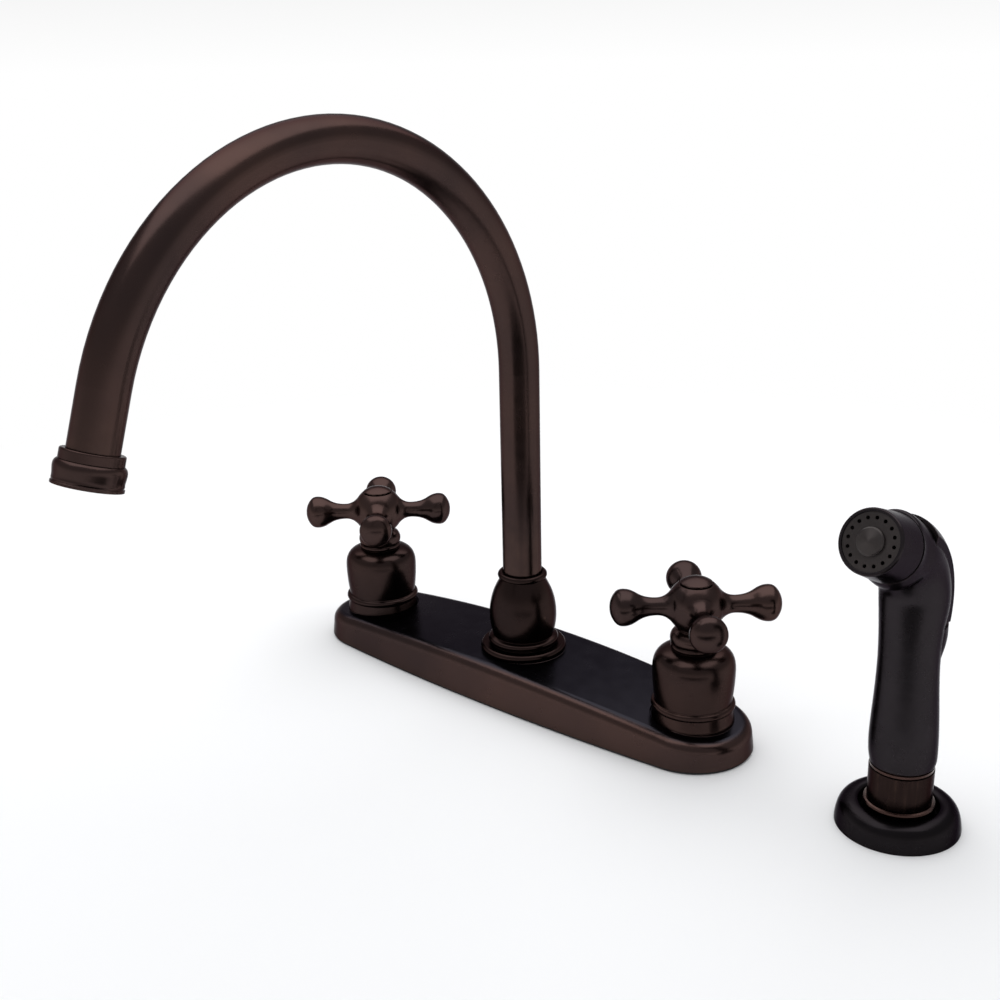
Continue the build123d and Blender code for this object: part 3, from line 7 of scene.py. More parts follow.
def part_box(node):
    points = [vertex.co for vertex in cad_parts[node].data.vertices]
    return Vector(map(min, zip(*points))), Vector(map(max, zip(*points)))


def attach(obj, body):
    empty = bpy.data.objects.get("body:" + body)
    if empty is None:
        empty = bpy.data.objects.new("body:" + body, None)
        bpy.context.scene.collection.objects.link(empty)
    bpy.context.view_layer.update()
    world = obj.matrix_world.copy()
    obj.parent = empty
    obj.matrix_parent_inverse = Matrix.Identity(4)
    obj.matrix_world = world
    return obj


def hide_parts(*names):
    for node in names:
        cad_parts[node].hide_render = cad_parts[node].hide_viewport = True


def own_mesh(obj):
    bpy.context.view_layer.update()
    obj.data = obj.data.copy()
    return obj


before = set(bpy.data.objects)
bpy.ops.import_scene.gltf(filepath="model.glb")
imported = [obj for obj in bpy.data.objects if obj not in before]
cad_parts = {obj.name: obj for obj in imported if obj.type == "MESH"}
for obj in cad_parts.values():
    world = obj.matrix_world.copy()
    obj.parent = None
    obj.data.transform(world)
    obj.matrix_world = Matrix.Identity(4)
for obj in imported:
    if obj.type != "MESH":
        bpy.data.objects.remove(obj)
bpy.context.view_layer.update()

bl_info = {
    "name": "Two Handle Kitchen Faucet",
    "version": (1, 0, 0),
    "blender": (4, 5, 0),
    "location": "3D View > Sidebar > Faucet",
    "description": "Bronze finishes, threads and studio for a two handle kitchen faucet",
    "category": "Object",
}

HOLE_PITCH = 0.1016
CAMERA_PLACE = (0.41773, -0.47511, 0.3131)
OVERHEAD_PLACE = (-0.25, 0.25, 1.35)
BRONZE_GRAZING = (0.47, 0.455, 0.465, 1.0)
COAT_GRAZING = (0.46, 0.45, 0.465, 1.0)
EASED_EDGE = 0.0004
GRAIN_DEPTH = 0.0001

# ---- Sizes, colours and studio settings --------------------------------------------------


class FaucetFinishes(bpy.types.PropertyGroup):
    """Colours and gloss of the faucet's finishes"""

    bronze_dark: bpy.props.FloatVectorProperty(
        name="Bronze",
        description="Body colour of the oil rubbed bronze",
        subtype="COLOR",
        size=3,
        min=0.0,
        max=1.0,
        default=(0.0385, 0.0256, 0.0242),
    )
    bronze_warm: bpy.props.FloatVectorProperty(
        name="Rubbed bronze",
        description="Warmer colour where the bronze is rubbed",
        subtype="COLOR",
        size=3,
        min=0.0,
        max=1.0,
        default=(0.0575, 0.0345, 0.0302),
    )
    bronze_worn: bpy.props.FloatVectorProperty(
        name="Worn edge",
        description="Coppery colour of the bronze's worn edges",
        subtype="COLOR",
        size=3,
        min=0.0,
        max=1.0,
        default=(0.11, 0.066, 0.05),
    )
    # Painted shade: a cool dark colour laid on the plate's level top by face direction. It
    # stands in for the dark room that the top reflects, and is not a coat on the plate.
    bronze_painted_top_shade: bpy.props.FloatVectorProperty(
        name="Oiled bronze",
        description="Cool dark coat left on the plate's level top, which hands seldom rub",
        subtype="COLOR",
        size=3,
        min=0.0,
        max=1.0,
        default=(0.0225, 0.0215, 0.026),
    )
    bronze_roughness: bpy.props.FloatProperty(
        name="Bronze roughness",
        description="How satin the bronze is",
        subtype="FACTOR",
        min=0.0,
        max=1.0,
        default=0.24,
    )
    coat_dark: bpy.props.FloatVectorProperty(
        name="Sprayer coat",
        description="Dark bronze coat on the plastic sprayer",
        subtype="COLOR",
        size=3,
        min=0.0,
        max=1.0,
        default=(0.0245, 0.0212, 0.0235),
    )
    coat_light: bpy.props.FloatVectorProperty(
        name="Sprayer coat, light",
        description="Lighter shade in the sprayer's coat",
        subtype="COLOR",
        size=3,
        min=0.0,
        max=1.0,
        default=(0.0325, 0.0278, 0.0302),
    )
    copper: bpy.props.FloatVectorProperty(
        name="Copper",
        description="Copper of the tubes under the plate",
        subtype="COLOR",
        size=3,
        min=0.0,
        max=1.0,
        default=(0.34, 0.19, 0.13),
    )
    face: bpy.props.FloatVectorProperty(
        name="Spray face",
        description="Warm grey of the spray face",
        subtype="COLOR",
        size=3,
        min=0.0,
        max=1.0,
        default=(0.046, 0.0375, 0.036),
    )
    dull_copper: bpy.props.FloatVectorProperty(
        name="Dull copper",
        description="Browned copper of the sprayer's two rings",
        subtype="COLOR",
        size=3,
        min=0.0,
        max=1.0,
        default=(0.072, 0.042, 0.036),
    )
    brass: bpy.props.FloatVectorProperty(
        name="Brass",
        description="Machined brass",
        subtype="COLOR",
        size=3,
        min=0.0,
        max=1.0,
        default=(0.62, 0.43, 0.19),
    )


class FaucetSizes(bpy.types.PropertyGroup):
    """Sizes of the threads and of the waterways inside them"""

    shank_pitch: bpy.props.FloatProperty(
        name="Shank thread pitch",
        description="Pitch of the 1/2 in straight pipe thread",
        unit="LENGTH",
        min=0.0005,
        default=0.001814,
    )
    shank_depth: bpy.props.FloatProperty(
        name="Shank thread depth",
        description="Depth of the thread on the inlet shanks",
        unit="LENGTH",
        min=0.0002,
        default=0.0011,
    )
    hose_pitch: bpy.props.FloatProperty(
        name="Hose thread pitch",
        description="Pitch of the 1/4 in straight pipe thread",
        unit="LENGTH",
        min=0.0005,
        default=0.001411,
    )
    hose_depth: bpy.props.FloatProperty(
        name="Hose thread depth",
        description="Depth of the thread on the hose connections",
        unit="LENGTH",
        min=0.0002,
        default=0.00085,
    )
    thread_steps: bpy.props.IntProperty(
        name="Steps per turn",
        description="Straight pieces in one turn of a thread",
        min=12,
        default=40,
    )
    thread_run_out: bpy.props.FloatProperty(
        name="Thread run out",
        description="Plain length between a thread's top and the face above it",
        unit="LENGTH",
        min=0.0,
        default=0.0012,
    )
    shank_bore: bpy.props.FloatProperty(
        name="Shank bore",
        description="Radius of the waterway through an inlet shank",
        unit="LENGTH",
        min=0.001,
        default=0.007,
    )
    outlet_bore: bpy.props.FloatProperty(
        name="Outlet bore",
        description="Radius of the waterway through the hose outlet",
        unit="LENGTH",
        min=0.001,
        default=0.004,
    )
    connector_bore: bpy.props.FloatProperty(
        name="Connector bore",
        description="Radius of the waterway through the wand's hose connector",
        unit="LENGTH",
        min=0.001,
        default=0.0035,
    )
    connector_neck: bpy.props.FloatProperty(
        name="Connector neck",
        description="Outer radius of the connector's plain neck inside the wand",
        unit="LENGTH",
        min=0.001,
        default=0.0054,
    )


class FaucetStudio(bpy.types.PropertyGroup):
    """Floor, backdrop, lamps and camera"""

    floor_radius: bpy.props.FloatProperty(
        name="Floor radius",
        description="How far the pale floor reaches before it curves up",
        unit="LENGTH",
        min=1.0,
        default=3.0,
    )
    wall_height: bpy.props.FloatProperty(
        name="Backdrop height",
        description="Height of the curved backdrop round the floor",
        unit="LENGTH",
        min=0.1,
        default=2.4,
    )
    wall_steps: bpy.props.IntProperty(
        name="Backdrop steps",
        description="Straight pieces in the backdrop's curve",
        min=2,
        default=8,
    )
    floor_colour: bpy.props.FloatVectorProperty(
        name="Floor colour",
        description="Colour of the floor under the faucet",
        subtype="COLOR",
        size=3,
        min=0.0,
        max=1.0,
        default=(0.93, 0.93, 0.93),
    )
    room_level: bpy.props.FloatProperty(
        name="Room light",
        description="Brightness of the room above the backdrop",
        min=0.0,
        default=0.5,
    )
    flag_radius: bpy.props.FloatProperty(
        name="Black flag radius",
        description="Radius of the black flag under the camera, seen only in the metal",
        unit="LENGTH",
        min=0.01,
        default=0.37,
    )
    overhead_power: bpy.props.FloatProperty(
        name="Overhead softbox",
        description="Power of the large softbox above the faucet",
        unit="POWER",
        min=0.0,
        default=24.0,
    )
    overhead_size: bpy.props.FloatProperty(
        name="Overhead size",
        description="Width and depth of the softbox above the faucet",
        unit="LENGTH",
        min=0.1,
        default=2.2,
    )
    camera_azimuth: bpy.props.FloatProperty(
        name="Camera azimuth",
        description="Turn of the camera about the faucet, from straight in front",
        unit="ROTATION",
        default=math.radians(42.09),
    )
    camera_pitch: bpy.props.FloatProperty(
        name="Camera pitch",
        description="How far down the camera looks",
        unit="ROTATION",
        default=math.radians(19.43),
    )
    camera_roll: bpy.props.FloatProperty(
        name="Camera roll",
        description="Lean of the camera to one side",
        unit="ROTATION",
        default=math.radians(-1.18),
    )


# ---- Node helpers ------------------------------------------------------------------------


def bare_surface(name):
    """A material that holds one principled shader and its output."""
    material = bpy.data.materials.new(name)
    material.use_nodes = True
    nodes = material.node_tree.nodes
    nodes.clear()
    output = nodes.new("ShaderNodeOutputMaterial")
    shader = nodes.new("ShaderNodeBsdfPrincipled")
    material.node_tree.links.new(shader.outputs["BSDF"], output.inputs["Surface"])
    return material, shader


def object_place(tree, stretch):
    """Object coordinates, stretched along the axes."""
    place = tree.nodes.new("ShaderNodeTexCoord")
    mapping = tree.nodes.new("ShaderNodeMapping")
    mapping.inputs["Scale"].default_value = stretch
    tree.links.new(place.outputs["Object"], mapping.inputs["Vector"])
    return mapping.outputs["Vector"]


def mottle(tree, scale, detail, stretch=(1.0, 1.0, 1.0)):
    """Noise on object coordinates, scale in features per metre."""
    noise = tree.nodes.new("ShaderNodeTexNoise")
    noise.inputs["Scale"].default_value = scale
    noise.inputs["Detail"].default_value = detail
    tree.links.new(object_place(tree, stretch), noise.inputs["Vector"])
    return noise.outputs["Fac"]


def spread(tree, value, source, target):
    """Map a value from one range to another, clamped."""
    node = tree.nodes.new("ShaderNodeMapRange")
    node.inputs["From Min"].default_value = source[0]
    node.inputs["From Max"].default_value = source[1]
    node.inputs["To Min"].default_value = target[0]
    node.inputs["To Max"].default_value = target[1]
    tree.links.new(value, node.inputs["Value"])
    return node.outputs["Result"]


def level_faces(tree):
    """Factor that is high where the surface lies level and faces up."""
    geometry = tree.nodes.new("ShaderNodeNewGeometry")
    parts = tree.nodes.new("ShaderNodeSeparateXYZ")
    tree.links.new(geometry.outputs["Normal"], parts.inputs["Vector"])
    return spread(tree, parts.outputs["Z"], (0.8, 0.97), (0.0, 1.0))


def product(tree, first, second):
    """Multiply two values."""
    node = tree.nodes.new("ShaderNodeMath")
    node.operation = "MULTIPLY"
    tree.links.new(first, node.inputs[0])
    tree.links.new(second, node.inputs[1])
    return node.outputs["Value"]


def blend_colour(tree, factor, first, second):
    """Mix two colours; each is a tuple or a node's output."""
    node = tree.nodes.new("ShaderNodeMix")
    node.data_type = "RGBA"
    tree.links.new(factor, node.inputs["Factor"])
    for socket, colour in ((node.inputs[6], first), (node.inputs[7], second)):
        if isinstance(colour, bpy.types.NodeSocket):
            tree.links.new(colour, socket)
        else:
            socket.default_value = (*colour, 1.0)
    return node.outputs[2]


def relief(tree, shader, height, strength):
    """Fine grain on the surface."""
    node = tree.nodes.new("ShaderNodeBump")
    node.inputs["Strength"].default_value = strength
    node.inputs["Distance"].default_value = GRAIN_DEPTH
    tree.links.new(height, node.inputs["Height"])
    tree.links.new(node.outputs["Normal"], shader.inputs["Normal"])


def eased_edges(tree, shader):
    """Round the shading of sharp edges by a small radius, under the relief."""
    node = tree.nodes.new("ShaderNodeBevel")
    node.samples = 6
    node.inputs["Radius"].default_value = EASED_EDGE
    bump = shader.inputs["Normal"].links[0].from_node
    tree.links.new(node.outputs["Normal"], bump.inputs["Normal"])


def edge_wear(tree, start, full, patch_scale):
    """Factor that is high on sharp outer edges, broken up by noise."""
    geometry = tree.nodes.new("ShaderNodeNewGeometry")
    edge = spread(tree, geometry.outputs["Pointiness"], (start, full), (0.0, 1.0))
    patches = spread(tree, mottle(tree, patch_scale, 3.0), (0.35, 0.65), (0.25, 1.0))
    return product(tree, edge, patches)


# ---- Finishes ----------------------------------------------------------------------------


def rubbed_bronze(name, stretch=(1.0, 1.0, 1.0), warmth=1.0, shade=1.0, painted_shade_on_top=False):
    """Satin oil rubbed bronze: dark skin, warm rubbed areas and coppery edges, with painted
    light and shade: a shade factor for each piece, and on request painted shade on level
    tops.
    """
    finish = bpy.context.scene.faucet_finishes
    material, shader = bare_surface(name)
    tree = material.node_tree
    rubbed = spread(tree, mottle(tree, 16.0, 3.0, stretch), (0.36, 0.68), (0.0, warmth))
    # Painted light and shade: the shade factor makes lit and shaded copies of one bronze, one
    # copy for each piece.
    dark = tuple(channel * shade for channel in finish.bronze_dark)
    warm = tuple(channel * shade for channel in finish.bronze_warm)
    skin = blend_colour(tree, rubbed, dark, warm)
    # Painted shade: level faces that point up take the cool dark colour, a reflection of a
    # dark room painted into the skin.
    if painted_shade_on_top:
        skin = blend_colour(tree, level_faces(tree), skin, finish.bronze_painted_top_shade)
    skin = blend_colour(tree, edge_wear(tree, 0.56, 0.72, 160.0), skin, finish.bronze_worn)
    tree.links.new(skin, shader.inputs["Base Color"])
    gloss = spread(
        tree,
        mottle(tree, 120.0, 3.0, stretch),
        (0.3, 0.7),
        (finish.bronze_roughness - 0.03, finish.bronze_roughness + 0.04),
    )
    tree.links.new(gloss, shader.inputs["Roughness"])
    relief(tree, shader, mottle(tree, 900.0, 2.0, stretch), 0.03)
    eased_edges(tree, shader)
    shader.inputs["Metallic"].default_value = 1.0
    shader.inputs["Specular Tint"].default_value = BRONZE_GRAZING
    return material


def sprayer_coat(name, shade=1.0):
    """Dark bronze coat on moulded plastic, a little softer than the metal."""
    finish = bpy.context.scene.faucet_finishes
    material, shader = bare_surface(name)
    tree = material.node_tree
    cloud = spread(tree, mottle(tree, 18.0, 3.0), (0.35, 0.68), (0.0, 1.0))
    # Painted light and shade: the shade factor makes lit and shaded copies of one coat, one
    # copy for each piece.
    dark = tuple(channel * shade for channel in finish.coat_dark)
    light = tuple(channel * shade for channel in finish.coat_light)
    skin = blend_colour(tree, cloud, dark, light)
    skin = blend_colour(tree, edge_wear(tree, 0.56, 0.7, 180.0), skin, finish.bronze_warm)
    tree.links.new(skin, shader.inputs["Base Color"])
    gloss = spread(tree, mottle(tree, 160.0, 3.0), (0.3, 0.7), (0.22, 0.29))
    tree.links.new(gloss, shader.inputs["Roughness"])
    relief(tree, shader, mottle(tree, 1100.0, 2.0), 0.03)
    eased_edges(tree, shader)
    shader.inputs["Metallic"].default_value = 1.0
    shader.inputs["Specular Tint"].default_value = COAT_GRAZING
    return material


def plain_metal(name, colour, roughness, stretch=(1.0, 1.0, 1.0), tarnish=0.35):
    """Bare machined metal with fine tool marks and a little tarnish."""
    material, shader = bare_surface(name)
    tree = material.node_tree
    stained = tuple(channel * (1.0 - tarnish) for channel in colour)
    stain = spread(tree, mottle(tree, 55.0, 5.0), (0.4, 0.7), (0.0, 1.0))
    tree.links.new(blend_colour(tree, stain, colour, stained), shader.inputs["Base Color"])
    marks = mottle(tree, 420.0, 2.0, stretch)
    gloss = spread(tree, marks, (0.25, 0.75), (roughness - 0.07, roughness + 0.1))
    tree.links.new(gloss, shader.inputs["Roughness"])
    relief(tree, shader, marks, 0.12)
    shader.inputs["Metallic"].default_value = 1.0
    return material


def moulded(name, colour, shade, roughness, grain=900.0):
    """Plain moulded plastic, rubber or fired ceramic."""
    material, shader = bare_surface(name)
    tree = material.node_tree
    cloud = spread(tree, mottle(tree, 60.0, 4.0), (0.35, 0.7), (0.0, 1.0))
    tree.links.new(blend_colour(tree, cloud, colour, shade), shader.inputs["Base Color"])
    gloss = spread(
        tree, mottle(tree, 300.0, 2.0), (0.3, 0.7), (roughness - 0.06, roughness + 0.08)
    )
    tree.links.new(gloss, shader.inputs["Roughness"])
    relief(tree, shader, mottle(tree, grain, 2.0), 0.15)
    return material


def spray_face_finish():
    """Warm grey face of the sprayer, a little metallic."""
    finish = bpy.context.scene.faucet_finishes
    colour = tuple(finish.face)
    shade = tuple(channel * 0.7 for channel in colour)
    material = moulded("spray_face_grey", colour, shade, 0.34)
    shader = material.node_tree.nodes["Principled BSDF"]
    shader.inputs["Metallic"].default_value = 0.6
    return material


def dress(material, *names):
    """Give CAD nodes a finish through their material slots."""
    for name in names:
        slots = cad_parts[name].material_slots
        for slot in slots:
            slot.material = material


# ---- Modelling helpers -------------------------------------------------------------------


def clear_selection():
    """Leave edit mode and select nothing."""
    if bpy.context.mode != "OBJECT":
        bpy.ops.object.mode_set(mode="OBJECT")
    bpy.ops.object.select_all(action="DESELECT")


def edit(piece):
    """Make a piece the only selected one and enter edit mode with all of it selected."""
    clear_selection()
    piece.select_set(True)
    bpy.context.view_layer.objects.active = piece
    bpy.ops.object.mode_set(mode="EDIT")
    bpy.ops.mesh.select_all(action="SELECT")


def tidy_mesh(piece, smooth_angle):
    """Merge doubles, turn the faces outwards and round the shading."""
    edit(piece)
    bpy.ops.mesh.remove_doubles(threshold=0.000002)
    bpy.ops.mesh.normals_make_consistent(inside=False)
    bpy.ops.object.mode_set(mode="OBJECT")
    bpy.ops.object.shade_smooth_by_angle(angle=math.radians(smooth_angle))


def bake_place(piece):
    """Put a piece's place into its mesh."""
    clear_selection()
    piece.select_set(True)
    bpy.context.view_layer.objects.active = piece
    bpy.ops.object.transform_apply(location=True, rotation=True, scale=True)


def apply_all(piece):
    """Apply a piece's modifiers in order."""
    clear_selection()
    piece.select_set(True)
    bpy.context.view_layer.objects.active = piece
    for modifier in list(piece.modifiers):
        bpy.ops.object.modifier_apply(modifier=modifier.name)


def lathed(name, centre, profile, steps):
    """Spin a closed (radius, height) profile about the vertical axis at centre."""
    clear_selection()
    bpy.ops.mesh.primitive_circle_add(vertices=len(profile), radius=0.01, fill_type="NOTHING")
    piece = bpy.context.object
    piece.name = name
    for vertex, (radius, height) in zip(piece.data.vertices, profile):
        vertex.co = Vector((radius, 0.0, height))
    edit(piece)
    bpy.ops.mesh.spin(
        steps=steps, angle=math.tau, center=(0.0, 0.0, 0.0), axis=(0.0, 0.0, 1.0), dupli=False
    )
    bpy.ops.object.mode_set(mode="OBJECT")
    piece.location = (centre[0], centre[1], 0.0)
    bake_place(piece)
    return piece


def thread_ridge(name, centre, radius, depth, pitch, low, high, steps):
    """Helical ridge between two heights, sunk a little into the core."""
    clear_selection()
    bpy.ops.mesh.primitive_circle_add(vertices=4, radius=0.001, fill_type="NOTHING")
    ridge = bpy.context.object
    ridge.name = name
    root = radius - depth - 0.0002
    crest = 0.12 * pitch
    foot = 0.5 * pitch
    corners = [(root, -foot), (radius, -crest), (radius, crest), (root, foot)]
    for vertex, (out, height) in zip(ridge.data.vertices, corners):
        vertex.co = Vector((out, 0.0, low + foot + height))
    turns = math.floor((high - low - pitch) / pitch)
    screw = ridge.modifiers.new("thread", "SCREW")
    screw.axis = "Z"
    screw.angle = math.tau
    screw.screw_offset = pitch
    screw.iterations = turns
    screw.steps = steps
    screw.render_steps = steps
    screw.use_normal_calculate = True
    apply_all(ridge)
    edit(ridge)
    bpy.ops.mesh.select_all(action="DESELECT")
    bpy.ops.mesh.select_non_manifold()
    bpy.ops.mesh.edge_face_add()
    bpy.ops.object.mode_set(mode="OBJECT")
    ridge.location = (centre[0], centre[1], 0.0)
    bake_place(ridge)
    return ridge


def join(name, pieces):
    """Join pieces into the first one and rename it."""
    clear_selection()
    for piece in pieces:
        piece.select_set(True)
    bpy.context.view_layer.objects.active = pieces[0]
    bpy.ops.object.join()
    pieces[0].name = name
    return pieces[0]


def threaded_tube(name, centre, profile, thread, steps):
    """A lathed core with a helical ridge on it."""
    radius, depth, pitch, low, high = thread
    core = lathed(name, centre, profile, 64)
    ridge = thread_ridge(name + "_ridge", centre, radius, depth, pitch, low, high, steps)
    piece = join(name, [core, ridge])
    tidy_mesh(piece, 35.0)
    return piece


def dressed_piece(piece, material, body, slot, *nodes):
    """Give a new piece its finish and body, and stand it in for its CAD nodes."""
    piece.data.materials.clear()
    piece.data.materials.append(material)
    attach(piece, body)
    if nodes:
        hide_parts(*nodes)


# ---- Pieces ------------------------------------------------------------------------------


class FAUCET_OT_base(bpy.types.Operator):
    """Finish the deck plate, its gasket and what clamps the faucet from below"""

    bl_idname = "faucet.base"
    bl_label = "Base"

    def execute(self, context):
        # The plate's bronze is 1.1 times as light, which is painted light, and its level top
        # carries painted shade.
        dress(rubbed_bronze("plate_bronze", shade=1.1, painted_shade_on_top=True), "deck_plate")
        rubber = moulded("black_rubber", (0.012, 0.012, 0.013), (0.03, 0.029, 0.028), 0.55)
        dress(
            rubber,
            "deck_gasket",
            "spout_seals",
            "aerator_washer",
            "hot_stem_seal",
            "cold_stem_seal",
        )
        steel = plain_metal("stainless_steel", (0.55, 0.54, 0.52), 0.3)
        dress(
            steel,
            "shank_washers",
            "holder_washer",
            "hot_handle_screw",
            "cold_handle_screw",
            "trigger_pin",
        )
        return {"FINISHED"}


class FAUCET_OT_valves(bpy.types.Operator):
    """Finish the valves, stems, ceramic discs, waterway and nuts"""

    bl_idname = "faucet.valves"
    bl_label = "Valves"

    def execute(self, context):
        finish = context.scene.faucet_finishes
        brass = plain_metal("machined_brass", tuple(finish.brass), 0.27, (0.05, 0.05, 1.0))
        dress(
            brass,
            "hot_valve_body",
            "cold_valve_body",
            "hot_cartridge",
            "cold_cartridge",
            "hot_stem",
            "cold_stem",
            "spout_hub",
            "spout_ferrule",
            "shank_nuts",
            "holder_nut",
            "spray_valve_body",
        )
        tube = plain_metal("copper_tube", tuple(finish.copper), 0.3, (0.2, 1.0, 1.0), 0.5)
        dress(tube, "hot_cross_tube", "cold_cross_tube")
        ceramic = moulded("fired_ceramic", (0.72, 0.7, 0.66), (0.66, 0.64, 0.6), 0.2)
        dress(
            ceramic,
            "hot_fixed_disc",
            "cold_fixed_disc",
            "hot_turning_disc",
            "cold_turning_disc",
        )
        plastic = moulded("white_plastic", (0.62, 0.62, 0.6), (0.55, 0.55, 0.53), 0.4)
        dress(
            plastic,
            "diverter_seat",
            "diverter_poppet",
            "spout_bearing_ring",
            "aerator_screen",
            "water_tube",
            "spray_valve_stem",
        )
        return {"FINISHED"}


class FAUCET_OT_shanks(bpy.types.Operator):
    """Model the threads on the inlet shanks, the outlet and the sprayer's connections"""

    bl_idname = "faucet.shanks"
    bl_label = "Threads"

    def execute(self, context):
        sizes = context.scene.faucet_sizes
        brass = bpy.data.materials["machined_brass"]
        for side, x in (("hot", -HOLE_PITCH), ("cold", HOLE_PITCH)):
            low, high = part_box(f"{side}_inlet_shank")
            radius = (high.x - low.x) / 2
            core = radius - sizes.shank_depth
            run_out = sizes.thread_run_out
            profile = [
                (sizes.shank_bore, low.z),
                (core - 0.0003, low.z),
                (core, low.z + 0.0005),
                (core, -run_out),
                (radius, -run_out / 2),
                (radius, 0.0),
                (sizes.shank_bore, 0.0),
            ]
            thread = (radius, sizes.shank_depth, sizes.shank_pitch, low.z, -0.001)
            shank = threaded_tube(
                f"{side}_shank_thread", (x, 0.0), profile, thread, sizes.thread_steps
            )
            dressed_piece(shank, brass, "faucet_body", "brass", f"{side}_inlet_shank")
        self.outlet(sizes, brass)
        self.connector(sizes, brass)
        return {"FINISHED"}

    def outlet(self, sizes, brass):
        """Tube under the hub that the sprayer's hose screws onto."""
        low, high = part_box("spray_outlet")
        radius = (high.x - low.x) / 2
        core = radius - sizes.hose_depth
        run_out = sizes.thread_run_out
        profile = [
            (sizes.outlet_bore, low.z),
            (core, low.z),
            (core, -run_out),
            (radius, 0.0),
            (radius, high.z),
            (sizes.outlet_bore, high.z),
        ]
        thread = (radius, sizes.hose_depth, sizes.hose_pitch, low.z, -run_out)
        outlet = threaded_tube(
            "outlet_thread", (0.0, 0.0), profile, thread, sizes.thread_steps
        )
        dressed_piece(outlet, brass, "faucet_body", "brass", "spray_outlet")

    def connector(self, sizes, brass):
        """Threaded end of the wand, where its hose screws on."""
        low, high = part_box("hose_connector")
        guide_low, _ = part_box("tail_ferrule")
        radius = (high.x - low.x) / 2
        core = radius - sizes.hose_depth
        profile = [
            (sizes.connector_bore, low.z),
            (core, low.z),
            (core, guide_low.z),
            (sizes.connector_neck, guide_low.z),
            (sizes.connector_neck, high.z),
            (sizes.connector_bore, high.z),
        ]
        thread = (radius, sizes.hose_depth, sizes.hose_pitch, low.z, guide_low.z)
        connector = threaded_tube(
            "connector_thread", (2 * HOLE_PITCH, 0.0), profile, thread, sizes.thread_steps
        )
        dressed_piece(connector, brass, "wand", "brass", "hose_connector")


class FAUCET_OT_handles(bpy.types.Operator):
    """Finish the bells, the cross handles and their index buttons"""

    bl_idname = "faucet.handles"
    bl_label = "Handles"

    def execute(self, context):
        # Painted shade on the bells at 0.75 and painted light on the handles at 1.05, as
        # copies of one bronze.
        dress(rubbed_bronze("bell_bronze", shade=0.75), "hot_bell", "cold_bell")
        dress(
            rubbed_bronze("handle_bronze", shade=1.05),
            "hot_cross_handle",
            "cold_cross_handle",
            "hot_index_button",
            "cold_index_button",
        )
        return {"FINISHED"}


class FAUCET_OT_spout(bpy.types.Operator):
    """Finish the barrel, the gooseneck and the aerator"""

    bl_idname = "faucet.spout"
    bl_label = "Spout"

    def execute(self, context):
        # Painted shade on the flange and barrel at 0.55 and painted light on the spout at
        # 1.05, as copies of one bronze.
        dress(rubbed_bronze("barrel_bronze", shade=0.55), "spout_flange", "spout_barrel")
        bronze = rubbed_bronze("spout_bronze", shade=1.05)
        dress(bronze, "spout_tube", "outlet_collar", "aerator_housing")
        return {"FINISHED"}


class FAUCET_OT_sprayer(bpy.types.Operator):
    """Finish the sprayer, its holder and its bright rings"""

    bl_idname = "faucet.sprayer"
    bl_label = "Sprayer"

    def execute(self, context):
        finish = context.scene.faucet_finishes
        dress(sprayer_coat("sprayer_coat"), "wand_shell", "trigger_lever", "nozzle_collar")
        # Painted shade: the holder's coat is the sprayer's coat at half its lightness.
        dress(sprayer_coat("holder_coat", shade=0.5), "spray_holder")
        rings = plain_metal("copper_rings", tuple(finish.dull_copper), 0.24)
        dress(rings, "holder_liner", "tail_ring")
        # Painted shade: the ferrule is the bronze at 0.44 of its lightness.
        dress(rubbed_bronze("ferrule_bronze", warmth=0.5, shade=0.44), "tail_ferrule")
        dress(spray_face_finish(), "spray_face", "face_cone")
        self.coil()
        return {"FINISHED"}

    def coil(self):
        """Return spring of the lever, copied from its CAD node; the real spring shortens as
        the lever is pressed.
        """
        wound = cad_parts["stem_spring"]
        clear_selection()
        bpy.ops.mesh.primitive_plane_add(size=0.001)
        spring = bpy.context.object
        spring.name = "lever_coil"
        spring.data = wound.data.copy()
        tidy_mesh(spring, 35.0)
        dressed_piece(
            spring, bpy.data.materials["stainless_steel"], "wand", "steel", "stem_spring"
        )
        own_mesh(spring)


# ---- Studio ------------------------------------------------------------------------------


